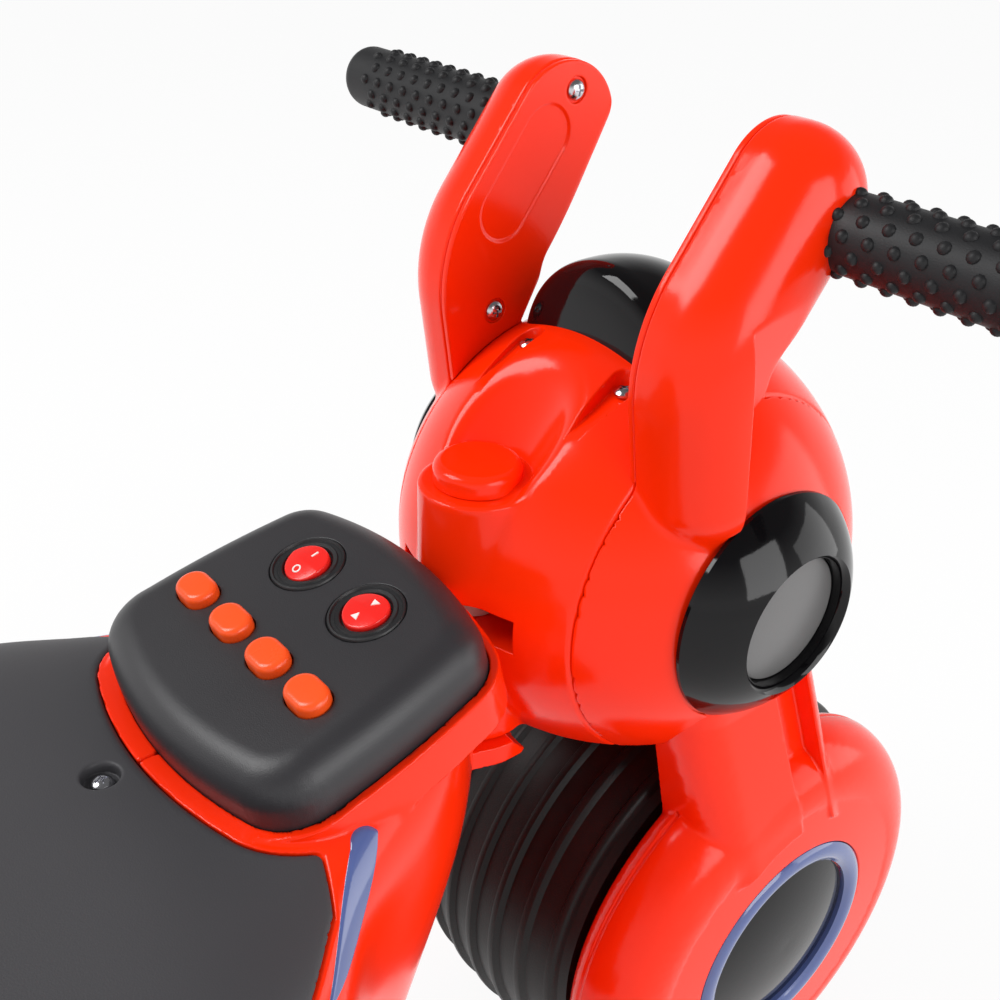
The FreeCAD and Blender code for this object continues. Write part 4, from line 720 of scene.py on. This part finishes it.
def body_form(x, y, z):
    ahead, above = on_console(x, z)
    around = outline_distance(ahead, y, console_outline)
    from_pin = np.hypot(x - steer_x, y)
    lug = np.maximum(np.abs(y) - lug_half_width, np.abs(x - 107.0) - 24.0)
    lug = blended(from_pin - lug_radius, lug, 4.0)
    upper = trimmed(lug, np.abs(z - 266.8) - 2.8, 0.8)
    upper = np.minimum(upper, trimmed(from_pin - lug_hub_radius, np.abs(z - 262.6) - 5.0, 0.8))
    lower = trimmed(lug, np.abs(z - 207.6) - 4.0, 0.8)
    form = blended(hull_form(x, y, z), np.minimum(upper, lower), 4.0)
    form = trimmed(form, -np.maximum(from_pin - pin_hole, 90.0 - x), 0.6)
    along, across = np.abs(x - board_x) - board_half_length, np.abs(y) - board_reach
    along, across = along + board_corner, across + board_corner
    board = np.hypot(np.maximum(along, 0), np.maximum(across, 0)) - board_corner
    board = np.maximum(board, np.minimum(np.maximum(along, across), 0) - board_corner)
    board = trimmed(board, np.abs(z - board_z) - 3.5, 2.0)
    form = blended(form, board, 7.0)
    form = trimmed(form, -seat_room(x, y, z, around), 0.8)
    rim_ends = np.maximum(above - rim_top, rim_foot - above)
    form = blended(form, trimmed(np.abs(around - rim_middle) - rim_half_width, rim_ends, 0.9), 1.5)
    swept = np.sqrt((x - swept_x) ** 2 + (np.abs(y) - swept_y) ** 2 + (z - head_z) ** 2)
    form = trimmed(form, head_radius + 1.0 - swept, 0.6)
    return trimmed(form, -np.maximum(around - 0.1, console_room - above), 0.6)


def left_body_form(x, y, z):
    return trimmed(body_form(x, y, z), -y, 0.5)


body_left = moulding("body_shell_left_moulded", left_body_form, (-312, 0, 34), (156, 150, 292), 2.6, 2)
body_right = other_side(body_left, "body_shell_right_moulded")
for shell, node in ((body_left, "body_shell_left"), (body_right, "body_shell_right")):
    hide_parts(node)
    coat(shell, red_plastic, "chassis")


# Console: a matt black cover with a soft edge, dropped into the rim of the body and screwed from
# below, with openings for four buttons and two round switches.
button_u, button_vs = 38.5, (-33.45, -11.15, 11.15, 33.45)
switch_u, switch_v = 70.5, 17.0
console_top, console_edge, console_skirt = 21.0, 12.0, -7.5
well_radius, well_half_length, well_floor, bezel_radius, bezel_floor = 6.15, 2.25, 14.0, 12.75, 19.6


def console_form(x, y, z):
    ahead, above = on_console(x, z)
    side = outline_distance(ahead, y, console_outline) + console_edge
    top = above - console_top + console_edge
    form = np.minimum(np.maximum(side, top), 0) + np.hypot(np.maximum(side, 0), np.maximum(top, 0))
    form = trimmed(form - console_edge, console_skirt - above, 0.5)
    for v in button_vs:
        ends = np.array((button_u, v - well_half_length)), np.array((button_u, v + well_half_length))
        well = np.maximum(run_distance(ahead, y, *ends) - well_radius, well_floor - above)
        form = trimmed(form, -well, 0.5)
    bezel = np.hypot(ahead - switch_u, np.abs(y) - switch_v)
    return trimmed(form, -np.maximum(bezel - bezel_radius, bezel_floor - above), 0.4)


black_matte = finish("black_matte", paint(44, 43, 46), 0.4, 2600.0, 0.00006, 0.12, 0.08)
console = moulding("console_cover_moulded", console_form, (8, -58, 238), (112, 58, 296), 1.5)
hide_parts("console_cover")
coat(console, black_matte, "chassis")


# Sound buttons: four orange pills with rounded tops in a row across the console. Each stands on a
# sprung contact of the board below and is pressed straight in.
def console_place(u, v):
    """The matrix that sets a piece, drawn flat at the origin, on the console."""
    along = Vector((math.cos(tilt), 0, math.sin(tilt)))
    above = Vector((-math.sin(tilt), 0, math.cos(tilt)))
    spot = Vector((0.012, 0, 0.2495)) + along * u / 1000 + Vector((0, v / 1000, 0))
    columns = Matrix((along, Vector((0, 1, 0)), above)).transposed().to_4x4()
    return Matrix.Translation(spot) @ columns


orange_plastic = finish("orange_plastic", paint(250, 84, 24), 0.28, 900.0, 0.00004, 0.06, 0.06)
for number, v in enumerate(button_vs, 1):
    bpy.ops.object.select_all(action="DESELECT")
    bpy.ops.mesh.primitive_circle_add(vertices=48, radius=0.00575, fill_type="NGON")
    button = bpy.context.object
    button.name = "sound_button_pill_" + str(number)
    for vertex in button.data.vertices:
        vertex.co += Vector((0, math.copysign(0.00225, vertex.co.y), 0.0144))
    bpy.ops.object.mode_set(mode="EDIT")
    bpy.ops.mesh.select_all(action="SELECT")
    bpy.ops.mesh.extrude_region_move(TRANSFORM_OT_translate={"value": (0, 0, 0.0106)})
    bpy.ops.mesh.bevel(offset=0.0022, segments=6, profile=0.5, affect="EDGES")
    bpy.ops.mesh.select_all(action="SELECT")
    bpy.ops.mesh.normals_make_consistent(inside=False)
    bpy.ops.object.mode_set(mode="OBJECT")
    bpy.ops.object.shade_smooth_by_angle(angle=math.radians(35))
    button.data.transform(console_place(button_u, v))
    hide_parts("sound_button_" + str(number))
    coat(button, orange_plastic, "button_" + str(number))


# Switches: two round rockers of red plastic in black bezels that snap into the console. The power
# rocker is marked I and O, and the other has an arrow for each way.
white_print = finish("white_print", paint(240, 232, 228), 0.45, 2000.0, 0.00003, 0.05, 0.05)
bezel_profile = [(0.0082, 0.0160), (0.0082, 0.0206), (0.0086, 0.0212), (0.0098, 0.0214), (0.0102, 0.0209),
                 (0.0112, 0.0209), (0.0116, 0.0215), (0.0122, 0.0214), (0.0126, 0.0208), (0.0126, 0.0197),
                 (0.0100, 0.0197), (0.0100, 0.0160), (0.0082, 0.0160)]


def rocker_block(name):
    """A round rocker drawn level at the origin: two faces that fall from a ridge across it."""
    bpy.ops.object.select_all(action="DESELECT")
    bpy.ops.mesh.primitive_cylinder_add(vertices=64, radius=0.0076, depth=0.0066, location=(0, 0, 0.0202))
    rocker = bpy.context.object
    rocker.name = name
    bpy.ops.object.mode_set(mode="EDIT")
    for way in (-1, 1):
        bpy.ops.mesh.select_all(action="SELECT")
        bpy.ops.mesh.bisect(plane_co=(0, 0, 0.0226), clear_outer=True, use_fill=True,
                            plane_no=(way * math.sin(math.radians(7)), 0, math.cos(math.radians(7))))
    bpy.ops.mesh.select_all(action="SELECT")
    bpy.ops.mesh.normals_make_consistent(inside=False)
    bpy.ops.object.mode_set(mode="OBJECT")
    bpy.ops.object.transform_apply()
    edge = rocker.modifiers.new("edge", "BEVEL")
    edge.width = 0.0006
    edge.segments = 3
    edge.limit_method = "ANGLE"
    edge.angle_limit = math.radians(40)
    bpy.ops.object.modifier_apply(modifier="edge")
    bpy.ops.object.shade_smooth_by_angle(angle=math.radians(35))
    return rocker


def mark(kind, along):
    """A thin printed mark that lies on one face of a level rocker."""
    bpy.ops.object.select_all(action="DESELECT")
    if kind == "ring":
        bpy.ops.mesh.primitive_torus_add(major_radius=0.0013, minor_radius=0.00028,
                                         major_segments=32, minor_segments=8)
    elif kind == "bar":
        bpy.ops.mesh.primitive_cube_add(size=1)
        bpy.context.object.scale = (0.0026, 0.00055, 0.0004)
    else:
        bpy.ops.mesh.primitive_cone_add(vertices=3, radius1=0.0017, depth=0.0004, radius2=0.0016)
        bpy.context.object.rotation_euler = (0, 0, math.radians(90 if along > 0 else -90))
    bpy.ops.object.transform_apply()
    piece = bpy.context.object
    fall = Matrix.Rotation(math.copysign(math.radians(7), along), 4, "Y")
    piece.data.transform(Matrix.Translation((0, 0, 0.0226)) @ fall @ Matrix.Translation((along, 0, 0.0001)))
    piece.data.materials.append(white_print)
    return piece


rocker_red = finish("rocker_red", paint(238, 36, 30), 0.2, 600.0, 0.00003, 0.05, 0.06)
for name, v, lean, kinds in (("power", switch_v, -7.0, ("bar", "ring")),
                             ("direction", -switch_v, 0.0, ("arrow", "arrow"))):
    place = console_place(switch_u, v)
    bezel = lathe("switch_bezel_" + name, (0, 0, 0), "Z", bezel_profile, 96)
    bezel.data.transform(place)
    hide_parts("switch_bezels")
    coat(bezel, black_nylon, "chassis")
    rocker = rocker_block("rocker_round_" + name)
    rocker.data.materials.append(rocker_red)
    marks = [mark(kind, along) for kind, along in zip(kinds, (0.0038, -0.0038))]
    bpy.ops.object.select_all(action="DESELECT")
    for piece in (*marks, rocker):
        piece.select_set(True)
    bpy.context.view_layer.objects.active = rocker
    bpy.ops.object.join()
    pivot = Matrix.Translation((0, 0, 0.0195))
    rocker.data.transform(place @ pivot @ Matrix.Rotation(math.radians(lean), 4, "Y") @ pivot.inverted())
    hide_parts("rocker_" + name)
    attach(rocker, name + "_rocker")
board_green = finish("board_green", paint(30, 92, 52), 0.35, 500.0, 0.00005, 0.15)
recoat(board_green, "sound_board")


# Seat: one matt charcoal moulding that closes the top of the body behind the console. Two screws in
# sunk holes hold it down on posts.
seat_screw_xs, seat_screw_depth, seat_hole_radius = (-7.0, -202.0), 4.0, 5.6


def seat_form(x, y, z):
    ahead, above = on_console(x, z)
    hull = hull_form(x, y, z)
    form = trimmed(hull, seat_room(x, y, z, outline_distance(ahead, y, console_outline)) + 0.3, 2.4)
    for screw_x in seat_screw_xs:
        hole = np.maximum(np.hypot(x - screw_x, y) - seat_hole_radius, -seat_screw_depth - hull)
        form = trimmed(form, -hole, 1.4)
    return form


charcoal = finish("charcoal", paint(61, 60, 63), 0.5, 1800.0, 0.00006, 0.08, 0.06, 0.35)
seat = moulding("seat_moulded", seat_form, (-298, -118, 222), (31, 118, 291), 2.4)
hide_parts("seat")
coat(seat, charcoal, "chassis")
for screw_x, name in zip(seat_screw_xs, ("front", "rear")):
    top = section_at(np.array([screw_x]))[2][0]
    set_screw(screw_pattern, "seat_screw_" + name, "seat_screws", "chassis",
              (screw_x, 0, top - seat_screw_depth), (0, 0, 1))
bpy.data.objects.remove(screw_pattern)


# Side lights: smoky blue strips, pointed to the rear, let into the flanks beside the front edge of
# the seat and glued from inside.
strip_side = [*bowed((47.5, 249.0), (36.0, 239.0), (9.0, 235.5)),
              *bowed((9.0, 235.5), (24.0, 243.2), (37.0, 249.6)),
              *bowed((37.0, 249.6), (41.5, 251.6), (47.5, 249.0), 8)]


strip_rise, strip_depth = 0.8, 2.0


def strip_form(x, y, z):
    hull = hull_form(x, y, z)
    form = trimmed(hull - strip_rise, outline_distance(x, z, strip_side), 0.9)
    return trimmed(form, -strip_depth - hull, 0.3)


strip_left = moulding("side_light_left", strip_form, (8, 55, 234), (49, 112, 253), 0.7)
strip_right = other_side(strip_left, "side_light_right")
for strip in (strip_left, strip_right):
    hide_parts("side_lights")
    coat(strip, blue_light, "chassis")


# Rear wheels: narrower ribbed tyres of the same rubber on red spool rims, held on the steel axle
# by pressed caps. The left one is driven.
rear_tread = tread(radius=0.075, half_width=0.022, crown=0.005, ribs=4, depth=0.0025, rim_radius=0.05)
for name in ("left", "right"):
    axle = middle_of("rear_tyre_" + name)
    tyre = lathe("rear_tyre_ribbed_" + name, axle, "Y", rear_tread)
    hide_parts("rear_tyre_" + name)
    coat(tyre, tyre_rubber, "rear_wheel_" + name)
recoat(red_plastic, "rear_rim_left", "rear_rim_right")
recoat(bright_steel, "rear_axle")
recoat(black_nylon, "axle_caps")


# Drive: a small steel motor on a black gearbox, with its pinion and three nylon gears.
gear_nylon = finish("gear_nylon", paint(232, 230, 220), 0.38, 500.0, 0.00005)
recoat(gear_nylon, "motor_pinion", "reduction_gear_1", "reduction_gear_2", "output_gear")
recoat(black_nylon, "gearbox_case_inner", "gearbox_case_outer")
recoat(bright_steel, "motor")


# Under tray, battery and speaker: the tray is screwed up under the body and carries the sealed
# battery, and the speaker sits on it over a ring of holes.
battery_case = finish("battery_case", paint(60, 60, 64), 0.5, 1400.0, 0.0001)
recoat(battery_case, "battery")
recoat(black_nylon, "speaker", "charging_socket", "pedal_switch")
recoat(black_matte, "under_tray", "accelerator_pedal")
recoat(screw_chrome, "body_screws")


# Studio: a white floor that keeps a soft shadow, a white surround that is dimmer overhead where it
# is mirrored, three large soft lamps, and the camera behind and above the right side of the toy.
bpy.ops.object.select_all(action="DESELECT")
bpy.ops.mesh.primitive_plane_add(size=40, location=(0, 0, 0))
floor = bpy.context.object
floor.name = "studio_floor"
floor_paint = bpy.data.materials.new("floor_paint")
floor_paint.use_nodes = True
floor_tree = floor_paint.node_tree
floor_shader = floor_tree.nodes["Principled BSDF"]
floor_shader.inputs["Base Color"].default_value = (0.9, 0.9, 0.9, 1)
floor_shader.inputs["Roughness"].default_value = 0.9
floor_shader.inputs["Specular IOR Level"].default_value = 0.0
floor_glow = floor_tree.nodes.new("ShaderNodeEmission")
floor_glow.inputs["Strength"].default_value = 1.0
floor_path = floor_tree.nodes.new("ShaderNodeLightPath").outputs
floor_seen = reckoned(floor_tree, "MAXIMUM", floor_path["Is Camera Ray"], floor_path["Is Glossy Ray"])
floor_mix = floor_tree.nodes.new("ShaderNodeMixShader")
floor_tree.links.new(reckoned(floor_tree, "MULTIPLY", floor_seen, 0.92), floor_mix.inputs["Fac"])
floor_tree.links.new(floor_shader.outputs["BSDF"], floor_mix.inputs[1])
floor_tree.links.new(floor_glow.outputs["Emission"], floor_mix.inputs[2])
floor_tree.links.new(floor_mix.outputs["Shader"], floor_tree.nodes["Material Output"].inputs["Surface"])
floor.data.materials.append(floor_paint)

world = bpy.data.worlds.new("white_surround")
bpy.context.scene.world = world
world.use_nodes = True
world_tree = world.node_tree
surround = world_tree.nodes["Background"]
surround.inputs["Color"].default_value = (1, 1, 1, 1)
world_path = world_tree.nodes.new("ShaderNodeLightPath").outputs
way = world_tree.nodes.new("ShaderNodeTexCoord")
height = world_tree.nodes.new("ShaderNodeSeparateXYZ")
dimming = world_tree.nodes.new("ShaderNodeMapRange")
for name, value in (("From Min", 0.1), ("From Max", 0.6), ("To Min", 1.0), ("To Max", 0.15)):
    dimming.inputs[name].default_value = value
world_tree.links.new(way.outputs["Generated"], height.inputs[0])
world_tree.links.new(height.outputs["Z"], dimming.inputs["Value"])
mirrored = reckoned(world_tree, "MULTIPLY", dimming.outputs["Result"], world_path["Is Glossy Ray"])
seen = reckoned(world_tree, "MAXIMUM", world_path["Is Camera Ray"], mirrored)
seen = reckoned(world_tree, "MAXIMUM", seen, world_path["Is Transmission Ray"])
ambient = reckoned(world_tree, "MULTIPLY", world_path["Is Diffuse Ray"], 0.55)
level = reckoned(world_tree, "MAXIMUM", seen, ambient)
world_tree.links.new(level, surround.inputs["Strength"])

target = Vector((0.12, 0, 0.22))
for name, spot, size, power in (("key_lamp", (-0.9, 0.7, 1.6), 0.9, 22.0),
                                ("side_lamp", (0.3, -1.6, 0.9), 1.0, 13.0),
                                ("low_lamp", (1.7, -1.1, 0.45), 1.3, 9.0)):
    bpy.ops.object.light_add(type="AREA", location=spot)
    lamp = bpy.context.object
    lamp.name = name
    lamp.data.size = size
    lamp.data.energy = power
    lamp.rotation_euler = (Vector(spot) - target).to_track_quat("Z", "Y").to_euler()

bpy.ops.object.camera_add()
camera = bpy.context.object
right = Vector((0.77792, -0.62776, 0.0281))
upward = Vector((0.29452, 0.40371, 0.86615))
camera.matrix_world = Matrix.Translation((0.198 - 0.29764, -0.28885, 0.270 + 0.24275)) @ Matrix(
    (right, upward, right.cross(upward))).transposed().to_4x4()
camera.data.sensor_width = 36.0
camera.data.lens = 46.008
bpy.context.scene.camera = camera
bpy.context.scene.view_settings.view_transform = "Standard"
